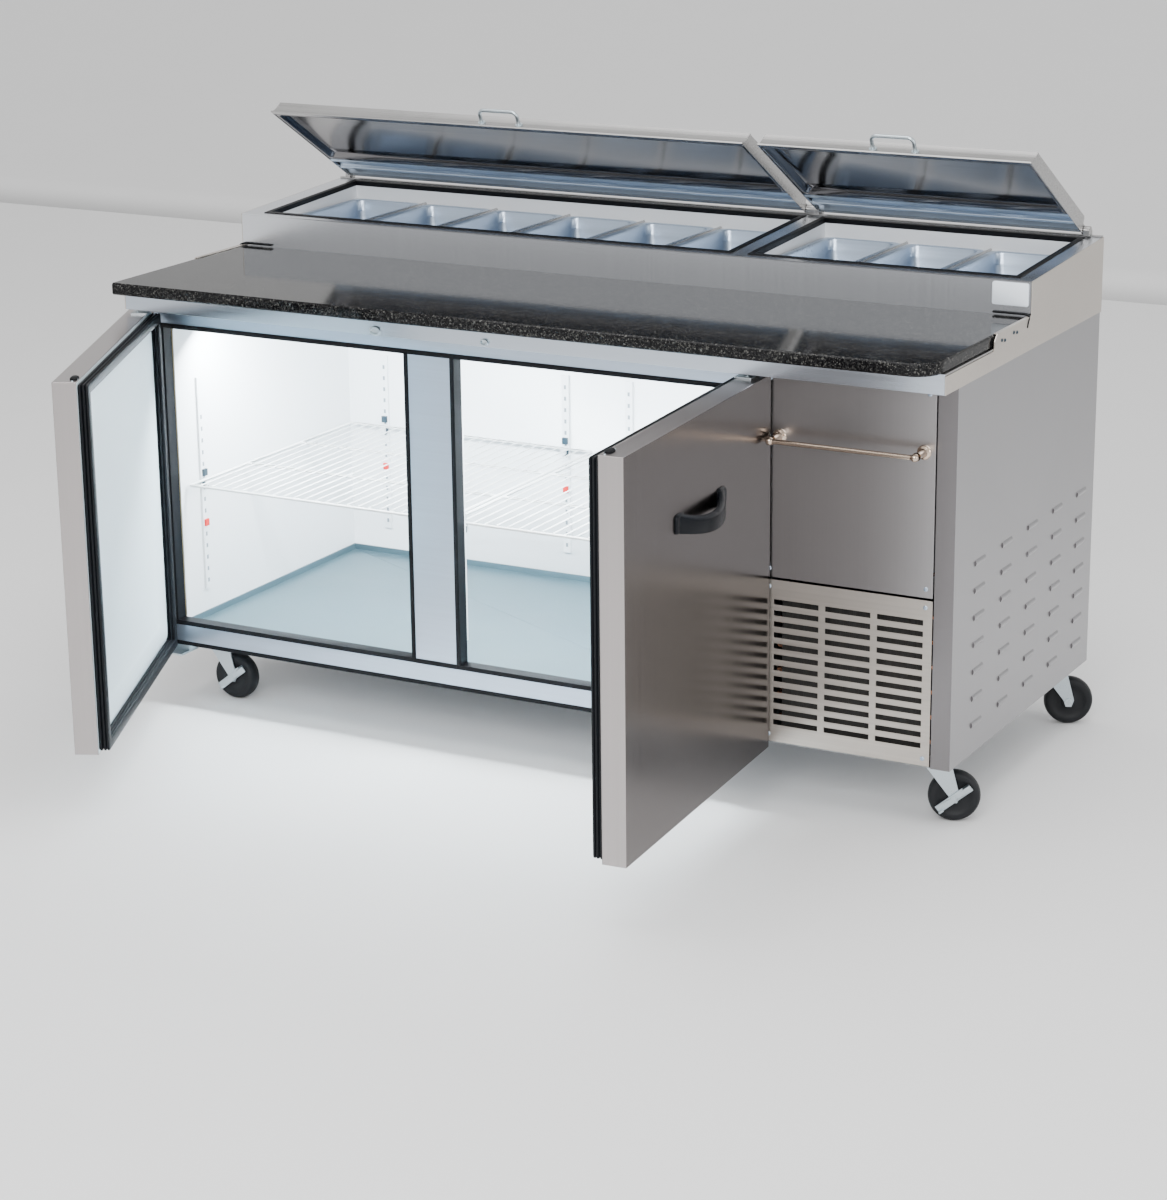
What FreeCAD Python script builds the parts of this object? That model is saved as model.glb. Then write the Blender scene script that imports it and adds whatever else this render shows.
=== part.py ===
"""Refrigerated sandwich prep table: a two-door cabinet on casters with a stone worktop,
a raised pan rail under two hinged lids, and a condensing unit at its right end.

Each sub-part is drawn in the frame of the body that carries it. In the cabinet's frame
x = 0 is the right side (so places along the cabinet are negative), y = 0 is the cabinet's
front face with +y to the rear, and z = 0 is the floor. Doors, lids and casters have frames
of their own at their pivots. `seat` then puts each finished sub-part in the row frame,
whose origin is the centre of the whole object's footprint as it stands with its doors open.
"""
import FreeCAD, Part
import math
import os
import re

import Sketcher

Vector = FreeCAD.Vector

DIMS = {
    # overall cabinet
    "width": 1829, "depth": 765, "base_z": 130, "seam_z": 876,
    "side_inset": 3, "skin": 1.5, "pillar": 42, "machine_edge": 399, "panel_split": 465,
    # front frame: distances of the openings from the right side, and their heights
    "frame_depth": 28, "opening_low": 185, "opening_high": 827, "strip": 10,
    "left_bay_left": 1787, "left_bay_right": 1196, "right_bay_left": 1078.5, "right_bay_right": 472,
    # refrigerated compartment
    "liner_left": 1784, "liner_right": 475, "liner_low": 165, "liner_high": 835,
    "liner_back": 698, "liner_wall": 2, "floor_lip": 15, "shelf_z": 475,
    # doors
    "door_length": 688, "door_low": 122, "door_high": 866, "door_thick": 47,
    "door_overhang": 1, "door_gap": 2, "door_skin": 1.5,
    "left_pivot": 1807, "right_pivot": 427, "pivot_front": 10,
    "left_angle": 65.5, "right_angle": 94,
    "gasket_inset": 9, "gasket_width": 14, "gasket_depth": 10.9,
    "handle_centre": 355, "handle_chord": 250, "handle_rise": 38, "handle_band": 11,
    "handle_low": 669, "handle_tall": 32,
    "hinge_pin": 4, "hinge_bore": 4.06, "leaf_radius": 8, "leaf_thick": 3.5, "bracket_thick": 4,
    # worktop and its frame
    "apron_front": 72, "worktop_front": 120, "worktop_low": 915, "worktop_high": 940,
    "worktop_corner": 55, "worktop_inset": 6,
    # pan rail
    "rail_front": 360, "rail_front_z": 1009, "rail_tilt": 2.83, "rail_length": 405.4,
    "rail_sheet": 2, "wing_front": 168, "wing_z": 942, "wing_width": 8,
    "pans_left_left": 1770, "pans_left_right": 662, "pans_right_left": 602, "pans_right_right": 45,
    "pan_front": 392, "pan_rear": 735, "trim": 12, "well_low": 880, "pan_rim_z": 989,
    "pan_length": 325, "pan_width": 176, "pan_depth": 100, "pan_wall": 1.2,
    # lids
    "lid_pivot_y": 752, "lid_pivot_z": 1042, "lid_open": 31, "lid_reach": 366, "lid_top_reach": 342,
    "lid_heel": 14, "lid_under": 10, "lid_over": 24, "lid_bevel": 54.8,
    "lid_left_left": 1791, "lid_left_right": 652, "lid_right_left": 619, "lid_right_right": 38,
    "lug_radius": 9, "lug_thick": 4, "grip_span": 90, "grip_rise": 32, "grip_radius": 4,
    # machine compartment
    "slot_length": 94, "slot_height": 10.5, "slot_pitch": 22.2, "slot_column_pitch": 107.5,
    "louvre_length": 50, "louvre_radius": 8, "louvre_pitch_y": 140, "louvre_pitch_z": 54,
    "bar_z": 747, "bar_radius": 5, "bar_reach": 46, "bar_left": 362, "bar_right": 68,
    # casters
    "wheel_radius": 51, "wheel_width": 32, "axle_radius": 5, "axle_bore": 5.06, "trail": 30,
    "caster_left": 1724, "caster_right": 55, "caster_front": 78, "caster_rear": 715,
    "kingpin_radius": 6, "kingpin_bore": 6.06, "fork_plate": 3,
    "angle_front_left": 0, "angle_front_right": 21, "angle_rear_left": 21, "angle_rear_right": 24,
}


def turned(x, y, degrees):
    """Point (x, y) turned about the origin."""
    angle = math.radians(degrees)
    return x * math.cos(angle) - y * math.sin(angle), x * math.sin(angle) + y * math.cos(angle)


def cabinet_corner():
    """Where the cabinet's front right corner lies in the row frame, whose origin is the
    footprint's centre: it is bounded by the open doors' corners, a front wheel and the back."""
    d = DIMS
    door_front = -d["door_gap"] - d["door_thick"]
    left_corner, _ = turned(-d["door_overhang"], door_front, -d["left_angle"])
    low_x = -d["left_pivot"] + left_corner
    free_end = d["door_length"] - d["door_overhang"]
    _, right_corner = turned(-free_end, -d["door_gap"], d["right_angle"])
    low_y = -d["pivot_front"] + right_corner
    wheel_edge, _ = turned(d["trail"] + d["wheel_radius"], -d["wheel_width"] / 2 + 6,
                           d["angle_front_right"])
    high_x = -d["caster_right"] + wheel_edge
    return -(low_x + high_x) / 2, -(low_y + d["depth"]) / 2


DIMS["corner_x"], DIMS["corner_y"] = cabinet_corner()

doc = FreeCAD.newDocument("PrepTable")
sheet = doc.addObject("Spreadsheet::Sheet", "dims")
for row, (alias, value) in enumerate(DIMS.items(), 1):
    sheet.set(f"A{row}", alias)
    sheet.set(f"B{row}", str(value))
    sheet.setAlias(f"B{row}", alias)

NODES = []


# ---------------------------------------------------------------- small building blocks

def bound(text):
    """Turns 'width - 2 * skin' into an expression on the sheet's cells."""
    return re.sub(r"[a-z_]+", lambda word: word[0] if word[0] in ("sin", "cos", "deg")
                  else "dims." + word[0], str(text))


def drive(obj, **sizes):
    """Binds properties of obj to expressions."""
    for name, text in sizes.items():
        obj.setExpression(name, bound(text))
    return obj


def put(obj, x=0, y=0, z=0):
    for axis, text in zip("xyz", (x, y, z)):
        obj.setExpression(f"Placement.Base.{axis}", bound(text))
    return obj


def block(x, y, z):
    """Part::Box between two corners; each argument is a (low, high) pair of expressions."""
    box = doc.addObject("Part::Box", "block")
    for name, (low, high) in zip(("Length", "Width", "Height"), (x, y, z)):
        box.setExpression(name, bound(f"({high}) - ({low})"))
    return put(box, x[0], y[0], z[0])


AXES = {"x": (Vector(0, 1, 0), 90), "y": (Vector(1, 0, 0), -90), "z": (Vector(0, 0, 1), 0)}


def rod(axis, radius, length, x=0, y=0, z=0):
    """Part::Cylinder that starts at a point and runs along a positive axis."""
    cylinder = doc.addObject("Part::Cylinder", "rod")
    cylinder.Placement = FreeCAD.Placement(Vector(), FreeCAD.Rotation(*AXES[axis]))
    return put(drive(cylinder, Radius=radius, Height=length), x, y, z)


def fuse(*parts):
    if len(parts) == 1:
        return parts[0]
    union = doc.addObject("Part::MultiFuse", "union")
    union.Shapes = list(parts)
    return union


def cut(base, *tools):
    difference = doc.addObject("Part::Cut", "difference")
    difference.Base = base
    difference.Tool = fuse(*tools)
    return difference


def group(*parts):
    """Separate solids that share one node."""
    compound = doc.addObject("Part::Compound", "set")
    compound.Links = list(parts)
    return compound


def prism(plane, corners, start, length):
    """PartDesign body: a polygon of (u, v) expressions on an origin plane, padded."""
    body = doc.addObject("PartDesign::Body", "body")
    sketch = polygon(body, plane, corners)
    sketch.setExpression("AttachmentOffset.Base.z", bound(start))
    pad = body.newObject("PartDesign::Pad", "pad")
    pad.Profile = sketch
    pad.setExpression("Length", bound(length))
    return body


def polygon(body, plane, corners):
    """Closed sketch whose every corner is dimensioned from the origin."""
    sketch = body.newObject("Sketcher::SketchObject", "sketch")
    support = next(o for o in body.Origin.OriginFeatures if o.Role == plane + "_Plane")
    sketch.AttachmentSupport = [(support, "")]
    sketch.MapMode = "FlatFace"
    count = len(corners)
    rough = [Vector(math.cos(6.28 * i / count), math.sin(6.28 * i / count), 0) * 100
             for i in range(count)]
    for i in range(count):
        sketch.addGeometry(Part.LineSegment(rough[i], rough[(i + 1) % count]))
    for i in range(count):
        sketch.addConstraint(Sketcher.Constraint("Coincident", i, 2, (i + 1) % count, 1))
    for i, corner in enumerate(corners):
        for kind, text in zip(("DistanceX", "DistanceY"), corner):
            index = sketch.addConstraint(Sketcher.Constraint(kind, -1, 1, i, 1, 1.0))
            sketch.setExpression(f"Constraints[{index}]", bound(text))
    return sketch


def revolved(corners):
    """PartDesign body turned about its own y axis from (radius, y) corners."""
    body = doc.addObject("PartDesign::Body", "body")
    sketch = polygon(body, "XY", corners)
    turn = body.newObject("PartDesign::Revolution", "turn")
    turn.Profile = sketch
    turn.ReferenceAxis = (sketch, ["V_Axis"])
    turn.Angle = 360
    return body


def mirrored(hand, low, high):
    """An x range for a left (1) or right (-1) hand part."""
    return (low, high) if hand > 0 else (f"-({high})", f"-({low})")


def bars(x, y, z, border, along):
    """Four separate bars around a rectangle whose normal runs along one axis."""
    first, second = [name for name in "xyz" if name != along]
    box = {"x": x, "y": y, "z": z}
    (low, high), (near, far) = box[first], box[second]
    pieces = [{second: (near, f"{near} + {border}")}, {second: (f"{far} - {border}", far)}]
    between = (f"{near} + {border}", f"{far} - {border}")
    pieces += [{first: ends, second: between}
               for ends in ((low, f"{low} + {border}"), (f"{high} - {border}", high))]
    return [block(*[{**box, **piece}[name] for name in "xyz"]) for piece in pieces]


# ---------------------------------------------------------------- seats in the row frame

def seat(obj, name, x=0, y=0, z=0, axis=(0, 0, 1), angle=0):
    """Gives a finished sub-part its name and its place relative to the cabinet's corner."""
    if obj.TypeId == "Part::Box":
        obj = group(obj)
    obj.Label = name
    obj.Placement = FreeCAD.Placement(Vector(), FreeCAD.Rotation(Vector(*axis), 10))
    obj.setExpression("Placement.Rotation.Angle", bound(angle))
    put(obj, f"corner_x + {x}", f"corner_y + {y}", z)
    NODES.append(obj)
    return obj


def on_cabinet(obj, name):
    return seat(obj, name)


def on_rail(obj, name):
    """The pan rail's deck slopes up to the rear from its front edge."""
    return seat(obj, name, y="rail_front", z="rail_front_z", axis=(1, 0, 0), angle="rail_tilt")


def on_door(obj, name, hand):
    pivot, angle = ("left_pivot", "-left_angle") if hand > 0 else ("right_pivot", "right_angle")
    return seat(obj, name, x=f"-{pivot}", y="-pivot_front", angle=angle)


def on_lid(obj, name):
    return seat(obj, name, y="lid_pivot_y", z="lid_pivot_z", axis=(1, 0, 0), angle="-lid_open")


def on_caster(obj, name, corner, offset=0):
    """Casters turn about their kingpins; offset moves a part out along the trail."""
    end, side = corner.split("_")
    y, x = f"caster_{end}", f"-caster_{side}"
    angle = f"angle_{corner}"
    return seat(obj, name, x=f"{x} + {offset} * cos({angle} * 1deg)",
                y=f"{y} + {offset} * sin({angle} * 1deg)", angle=angle)


# ---------------------------------------------------------------- cabinet shell

INNER_LEFT = "-width + side_inset + skin"
INNER_RIGHT = "-side_inset - skin"
FRAME_LEFT = "-width + side_inset + skin + 14.5"


def side_panels():
    """Bent sheets: a side with a return on the front pillar and one at the back."""
    right = prism("XY", [
        ("-pillar", "0"), ("-side_inset", "0"), ("-side_inset", "depth"),
        ("-side_inset - 22", "depth"), ("-side_inset - 22", "depth - skin"),
        (INNER_RIGHT, "depth - skin"), (INNER_RIGHT, "skin"), ("-pillar", "skin")],
        "base_z", "seam_z - base_z")
    bumps = [rod("y", "louvre_radius", "louvre_length", "-louvre_radius",
                 f"105 + {column} * louvre_pitch_y", f"190 + {row} * louvre_pitch_z")
             for column in range(5) for row in range(7)]
    inside = block(("-pillar", INNER_RIGHT), ("skin + 1", "depth - skin - 1"),
                   ("base_z", "seam_z"))
    on_cabinet(cut(fuse(right, *bumps), inside), "side_panel_right")
    left = prism("XY", [
        ("-width + side_inset", "0"), (FRAME_LEFT, "0"), (FRAME_LEFT, "skin"),
        (INNER_LEFT, "skin"), (INNER_LEFT, "depth - skin"),
        ("-width + side_inset + 22", "depth - skin"), ("-width + side_inset + 22", "depth"),
        ("-width + side_inset", "depth")],
        "base_z", "seam_z - base_z")
    on_cabinet(left, "side_panel_left")


def back_and_base():
    gland_hole = rod("y", 11, 30, -120, "depth - 20", 190)
    on_cabinet(cut(block((INNER_LEFT, INNER_RIGHT), ("depth - 2 * skin", "depth - skin"),
                         ("base_z + skin", "seam_z - skin")), gland_hole), "back_panel")
    rear = block((INNER_LEFT, INNER_RIGHT), ("frame_depth", "depth - 2 * skin"),
                 ("base_z", "base_z + skin"))
    front = block(("-machine_edge + 2", INNER_RIGHT), ("2 * skin", "frame_depth"),
                  ("base_z", "base_z + skin"))
    on_cabinet(fuse(rear, front), "base_pan")
    flange = rod("y", 16, "skin", -120, "depth - skin", 190)
    sleeve = rod("y", 10.5, 20, -120, "depth - skin - 20", 190)
    cord_way = rod("y", 5, 40, -120, "depth - skin - 30", 190)
    on_cabinet(cut(fuse(flange, sleeve), cord_way), "cord_gland")


def front_frame():
    """Header, sill, jambs and the centre mullion, welded edge to edge."""
    depth = ("0", "frame_depth")
    low, high = "opening_low - strip", "opening_high + strip"
    right, left = "-machine_edge", FRAME_LEFT
    members = [block((left, right), depth, span) for span in (("base_z", low), (high, "seam_z"))]
    edge = left
    for bay_left, bay_right in BAYS:
        members.append(block((edge, f"-{bay_left} - strip"), depth, (low, high)))
        edge = f"-{bay_right} + strip"
    members.append(block((edge, right), depth, (low, high)))
    on_cabinet(group(*members), "front_frame")
    strips = []
    for bay_left, bay_right in BAYS:
        strips += bars((f"-{bay_left} - strip", f"-{bay_right} + strip"), ("-1", "frame_depth"),
                       (low, high), "strip", "y")
    on_cabinet(group(*strips), "breaker_strips")


BAYS = (("left_bay_left", "left_bay_right"), ("right_bay_left", "right_bay_right"))


def compartment():
    x, y = ("-liner_left", "-liner_right"), ("frame_depth", "liner_back")
    z = ("liner_low", "liner_high")
    walls = [block((f"{x[0]} - liner_wall", x[0]), y, z), block((x[1], f"{x[1]} + liner_wall"), y, z)]
    full_x = (f"{x[0]} - liner_wall", f"{x[1]} + liner_wall")
    walls += [block(full_x, y, (f"{z[0]} - liner_wall", z[0])),
              block(full_x, y, (z[1], f"{z[1]} + liner_wall")),
              block(full_x, (y[1], f"{y[1]} + liner_wall"),
                    (f"{z[0]} - liner_wall", f"{z[1]} + liner_wall"))]
    on_cabinet(group(*walls), "interior_liner")
    core = block((INNER_LEFT, "-machine_edge"), ("frame_depth", "depth - 2 * skin"),
                 ("base_z + skin", "seam_z - skin"))
    hollow = block(full_x, ("frame_depth - 1", "liner_back + liner_wall"),
                   ("liner_low - liner_wall", "liner_high + liner_wall"))
    on_cabinet(cut(core, hollow), "insulation")
    floor_x, floor_y = (f"{x[0]} + 1", f"{x[1]} - 1"), ("frame_depth + 8", "liner_back - 1")
    pan_floor = block(floor_x, floor_y, ("liner_low", "liner_low + 2"))
    lips = bars(floor_x, floor_y, ("liner_low + 2", "liner_low + floor_lip"), "4", "z")
    on_cabinet(group(pan_floor, *lips), "liner_floor")


SHELVES = ((-1772, -1138), (-1122, -487))
SHELF_FRONT, SHELF_REAR = 48, 680


def shelf_standards():
    """Slotted uprights on the walls with a clip on each that carries a shelf's edge."""
    low, high = 230, 700
    wall = 6
    side = (("-liner_left", f"-liner_left + {wall}", 1), (f"-liner_right - {wall}", "-liner_right", -1))
    uprights, clips = [], []
    for left, right, inward in side:
        uprights.append(block((left, right), (96, 114), (low, high)))
        face = right if inward > 0 else left
        reach = (face, f"{face} + 10") if inward > 0 else (f"{face} - 10", face)
        clips.append(block(reach, (100, 110), ("shelf_z - 14", "shelf_z - 3.2")))
    for x in (-1172, -1088):
        uprights.append(block((x - 9, x + 9), ("frame_depth", f"frame_depth + {wall}"), (low, high)))
        clips.append(block((x - 5, x + 5), (f"frame_depth + {wall}", f"{SHELF_FRONT} + 4"),
                           ("shelf_z - 14", "shelf_z - 3.2")))
    for x in (-1685, -1210, -1050, -575):
        uprights.append(block((x - 9, x + 9), (f"liner_back - {wall}", "liner_back"), (low, 640)))
        clips.append(block((x - 5, x + 5), (f"{SHELF_REAR} - 4", f"liner_back - {wall}"),
                           ("shelf_z - 14", "shelf_z - 3.2")))
    on_cabinet(group(*uprights, *clips), "shelf_standards")


def wire_shelf(left, right):
    rail = 3
    wire = 1.5
    length = right - left
    rails = [rod("x", rail, length, left, y, "shelf_z") for y in (SHELF_FRONT, SHELF_REAR)]
    rails += [rod("y", rail, SHELF_REAR - SHELF_FRONT, x, SHELF_FRONT, "shelf_z")
              for x in (left, right)]
    rails += [rod("x", rail, length, left, y, "shelf_z") for y in (260, 470)]
    count = 24
    pitch = length / count
    wires = [rod("y", wire, SHELF_REAR - SHELF_FRONT, left + pitch * i, SHELF_FRONT, "shelf_z + 3")
             for i in range(1, count)]
    return fuse(*rails, *wires)


def hinge_brackets():
    """Plates fixed to the cabinet above and below each door, with the pins the doors turn on."""
    parts = []
    for hand, pivot in ((1, "left_pivot"), (-1, "right_pivot")):
        low, high = mirrored(hand, "-8", "40")
        x = (f"-{pivot} + ({low})", f"-{pivot} + ({high})")
        top = block(x, ("-34", "-1"), ("seam_z - bracket_thick", "seam_z"))
        top_pin = rod("z", "hinge_pin", "seam_z - bracket_thick - door_high - 0.2",
                      f"-{pivot}", "-pivot_front", "door_high + 0.2")
        foot = block(x, ("-24", "40"), ("door_low - 10", "door_low - 10 + bracket_thick"))
        riser = block(x, ("6", "40"), ("door_low - 10 + bracket_thick", "base_z"))
        foot_pin = rod("z", "hinge_pin", "9.8 - bracket_thick", f"-{pivot}", "-pivot_front",
                       "door_low - 10 + bracket_thick")
        parts += [fuse(top, top_pin), fuse(foot, riser, foot_pin)]
    on_cabinet(group(*parts), "door_hinge_brackets")


# ---------------------------------------------------------------- doors

def door(side, hand):
    end = "door_length - door_overhang"
    y_front, y_back = "-door_gap - door_thick", "-door_gap"
    x = mirrored(hand, "-door_overhang", end)
    x_in = mirrored(hand, "-door_overhang + door_skin", f"{end} - door_skin")
    z, z_in = ("door_low", "door_high"), ("door_low + door_skin", "door_high - door_skin")
    shell = cut(block(x, (y_front, y_back), z),
                block(x_in, (f"{y_front} + door_skin", f"{y_back} + 1"), z_in))
    on_door(shell, f"door_{side}_shell", hand)
    on_door(block(x_in, (f"{y_front} + door_skin", f"{y_back} - 2"), z_in), f"door_{side}_core", hand)
    on_door(block(x_in, (f"{y_back} - 2", y_back), z_in), f"door_{side}_liner", hand)
    gasket_x = mirrored(hand, "gasket_inset - door_overhang", f"{end} - gasket_inset")
    gasket = bars(gasket_x, (y_back, f"{y_back} + gasket_depth"),
                  ("door_low + gasket_inset", "door_high - gasket_inset"), "gasket_width", "y")
    on_door(group(*gasket), f"door_{side}_gasket", hand)
    on_door(bow_handle(hand, y_front), f"door_{side}_handle", hand)
    leaves = []
    for low, pad in (("door_high", 0), ("door_low - leaf_thick", 0)):
        arm = block(mirrored(hand, "0", "60"), ("-32", "2"), (low, f"{low} + leaf_thick"))
        eye = rod("z", "leaf_radius", "leaf_thick", z=low)
        bore = rod("z", "hinge_bore", "leaf_thick + 2", z=f"{low} - 1")
        leaves.append(cut(fuse(arm, eye), bore))
    on_door(group(*leaves), f"door_{side}_hinge_leaves", hand)


def bow_handle(hand, face):
    """A bow-shaped pull: a band between two arcs, standing on the door's face at both ends."""
    chord, rise = DIMS["handle_chord"], DIMS["handle_rise"]
    radius = chord * chord / (8 * rise) + rise / 2
    centre = f"{hand} * handle_centre"
    axis_y = f"{face} + {radius - rise}"
    height = ("handle_low", "handle_low + handle_tall")
    outer = rod("z", radius, "handle_tall", centre, axis_y, height[0])
    inner = rod("z", f"{radius} - handle_band", "handle_tall + 2", centre, axis_y, f"{height[0]} - 1")
    behind = block((f"{centre} - 400", f"{centre} + 400"), (face, f"{face} + 900"),
                   (f"{height[0]} - 1", f"{height[1]} + 1"))
    return cut(outer, inner, behind)


# ---------------------------------------------------------------- worktop and pan rail

def counter_frame():
    """Cabinet's top sheet, the apron at its front and the folded shelf under the worktop."""
    x = ("-width + rail_sheet", "-rail_sheet")
    top = block(x, ("-apron_front", "depth - 2"), ("seam_z", "seam_z + 2"))
    apron = block(x, ("-apron_front", "-apron_front + 2"), ("seam_z", "worktop_low"))
    shelf = block(x, ("-apron_front", "rail_front + rail_sheet"), ("worktop_low - 4", "worktop_low"))
    on_cabinet(fuse(top, apron, shelf), "counter_frame")


def worktop():
    """Stone slab whose right front corner is rounded; its edges are eased."""
    body = prism("XY", [
        ("-width + worktop_inset", "-worktop_front"), ("-worktop_inset", "-worktop_front"),
        ("-worktop_inset", "rail_front"), ("-width + worktop_inset", "rail_front")],
        "worktop_low", "worktop_high - worktop_low")
    doc.recompute()
    pad = body.Tip
    corner = FreeCAD.Vector(-DIMS["worktop_inset"], -DIMS["worktop_front"], 0)
    upright = [f"Edge{i}" for i, edge in enumerate(pad.Shape.Edges, 1)
               if all(math.hypot(v.X - corner.x, v.Y - corner.y) < 1 for v in edge.Vertexes)]
    rounding = body.newObject("PartDesign::Fillet", "corner_round")
    rounding.Base = (pad, upright)
    rounding.setExpression("Radius", bound("worktop_corner"))
    doc.recompute()
    front = [f"Edge{i}" for i, edge in enumerate(rounding.Shape.Edges, 1)
             if edge.BoundBox.YMax < -DIMS["worktop_front"] + DIMS["worktop_corner"] + 1
             and edge.BoundBox.ZLength < 1]
    easing = body.newObject("PartDesign::Chamfer", "eased_edge")
    easing.Base = (rounding, front)
    easing.Size = 3
    on_cabinet(body, "worktop")


def end_plates():
    """Side plates that close the worktop frame's ends and the rail, with a low wing in front."""
    outline = [("-apron_front", "seam_z"), ("depth", "seam_z"),
               ("depth", "rail_front_z + 20"), ("rail_front", "rail_front_z"),
               ("rail_front", "wing_z"), ("wing_front + 14", "wing_z"),
               ("wing_front", "wing_z - 14"), ("wing_front", "worktop_low - 4"),
               ("-apron_front", "worktop_low - 4")]
    right = prism("YZ", outline, "-rail_sheet", "rail_sheet")
    left = prism("YZ", outline, "-width", "rail_sheet")
    plates = []
    for plate, x in ((right, ("-wing_width", "-rail_sheet")),
                     (left, ("-width + rail_sheet", "-width + wing_width"))):
        cap = block(x, ("wing_front + 14", "rail_front"), ("worktop_high", "wing_z"))
        plates.append(fuse(plate, cap))
    on_cabinet(group(*plates), "rail_end_plates")


PAN_OPENINGS = (("pans_left_left", "pans_left_right"), ("pans_right_left", "pans_right_right"))
DECK_FRONT, DECK_REAR = "pan_front - rail_front", "pan_rear - rail_front"


def upright(box, angle):
    """Turns a box of the deck's tilted frame back square to the cabinet, or the other way."""
    box.Placement = FreeCAD.Placement(Vector(), FreeCAD.Rotation(Vector(1, 0, 0), 10))
    box.setExpression("Placement.Rotation.Angle", bound(angle))
    return box


def rail_shell():
    """Front face and sloping deck of the pan rail; black trim lines the two pan openings."""
    x, sheet_z = ("-width + rail_sheet", "-rail_sheet"), ("-rail_sheet", "0")
    near, far = f"{DECK_FRONT} - trim", f"{DECK_REAR} + trim"
    deck = [block(x, ("0", near), sheet_z), block(x, (far, "rail_length"), sheet_z)]
    edge, trims = x[0], []
    for left, right in PAN_OPENINGS:
        deck.append(block((edge, f"-{left} - trim"), (near, far), sheet_z))
        edge = f"-{right} + trim"
        trims += bars((f"-{left} - trim", edge), (near, far), ("-9", "1.5"), "trim", "z")
    deck.append(block((edge, x[1]), (near, far), sheet_z))
    drop = "(rail_front_z - worktop_low)"
    face = upright(block(x, ("0", "rail_sheet"), (f"-{drop}", "-2.2")), "-rail_tilt")
    put(face, x[0], f"-{drop} * sin(rail_tilt * 1deg)", f"-{drop} * cos(rail_tilt * 1deg)")
    on_rail(group(*deck, face), "rail_shell")
    on_rail(group(*trims), "rail_trim")


def rail_well():
    """White tray under the deck, one bay under each opening, with ledges for the pans' rims."""
    left, right = "-pans_left_left", "-pans_right_right"
    floor, ledge, top = "well_low + 2", "pan_rim_z", "rail_front_z + 60"
    whole_x, whole_y = (f"{left} - 13", f"{right} + 13"), ("pan_front - 13", "pan_rear + 10")
    middle = ("-pans_left_right", "-pans_right_left")
    blocks = [(whole_x, whole_y, ("well_low", floor))]
    for wall, shelf in (((whole_y[0], "pan_front"), (whole_y[0], "pan_front + 20")),
                        (("pan_rear", whole_y[1]), ("pan_rear - 12", whole_y[1]))):
        blocks += [(whole_x, shelf, (floor, ledge)), (whole_x, wall, (ledge, top))]
    for wall in ((whole_x[0], left), middle, (right, whole_x[1])):
        blocks += [(wall, ("pan_front + 20", "pan_rear - 12"), (floor, ledge)),
                   (wall, ("pan_front", "pan_rear"), (ledge, top))]
    solids = []
    for spans in blocks:
        solid = block(*spans)
        if spans[2][1] == top:
            above = upright(block(("-width - 10", "10"), ("-20", "rail_length + 20"), ("0", "200")),
                            "rail_tilt")
            put(above, "-width - 10", "rail_front", "rail_front_z - 9.2")
            solid = cut(solid, above)
        solids.append(solid)
    on_cabinet(group(*solids), "rail_well")


def food_pans():
    """Third-size pans, long side front to rear, hung by their rims on the well's ledges."""
    pans = []
    for (left, right), count in zip(PAN_OPENINGS, (6, 3)):
        for i in range(count):
            centre = f"(-{left} + ({left} - {right}) * {(i + 0.5) / count})"
            pans.append(pan(centre))
    on_cabinet(group(*pans), "food_pans")


def pan(centre):
    lip = 13
    middle = "(pan_front + pan_rear + 8) / 2"
    rim_x = (f"{centre} - pan_width / 2", f"{centre} + pan_width / 2")
    rim_y = (f"{middle} - pan_length / 2", f"{middle} + pan_length / 2")
    body_x = (f"{rim_x[0]} + {lip}", f"{rim_x[1]} - {lip}")
    body_y = (f"{rim_y[0]} + {lip}", f"{rim_y[1]} - {lip}")
    top = "pan_rim_z + pan_wall"
    rim = block(rim_x, rim_y, ("pan_rim_z", top))
    tub = block(body_x, body_y, (f"{top} - pan_depth", "pan_rim_z"))
    hollow = block((f"{body_x[0]} + pan_wall", f"{body_x[1]} - pan_wall"),
                   (f"{body_y[0]} + pan_wall", f"{body_y[1]} - pan_wall"),
                   (f"{top} - pan_depth + pan_wall", f"{top} + 1"))
    return cut(fuse(rim, tub), hollow)


def lid_rail():
    """Rear wall of the rail, the raised strip behind the lids and the posts with hinge pins."""
    x = ("-width + rail_sheet", "-rail_sheet")
    wall = block(x, ("depth - 2", "depth"), ("seam_z", "rail_front_z + 17"))
    strip = block(x, ("lid_pivot_y + 4", "depth"), ("rail_front_z + 20", "rail_front_z + 23"))
    posts = []
    for x_low, x_high, pins in (
            ("-lid_left_left - 13", "-lid_left_left - 1", (1,)),
            ("-lid_left_right + 1", "-lid_right_left - 1", (-1, 1)),
            ("-lid_right_right + 1", "-lid_right_right + 13", (-1,))):
        foot = block((x_low, x_high), ("lid_pivot_y - 9", "depth - 1"),
                     ("rail_front_z + 23", "lid_pivot_z"))
        head = rod("x", 9, f"({x_high}) - ({x_low})", x_low, "lid_pivot_y", "lid_pivot_z")
        solids = [foot, head]
        for way in pins:
            start = x_high if way > 0 else f"{x_low} - 10"
            solids.append(rod("x", "hinge_pin", 10, start, "lid_pivot_y", "lid_pivot_z"))
        posts.append(fuse(*solids))
    on_cabinet(group(wall, strip, *posts), "lid_hinge_rail")


# ---------------------------------------------------------------- lids

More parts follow.
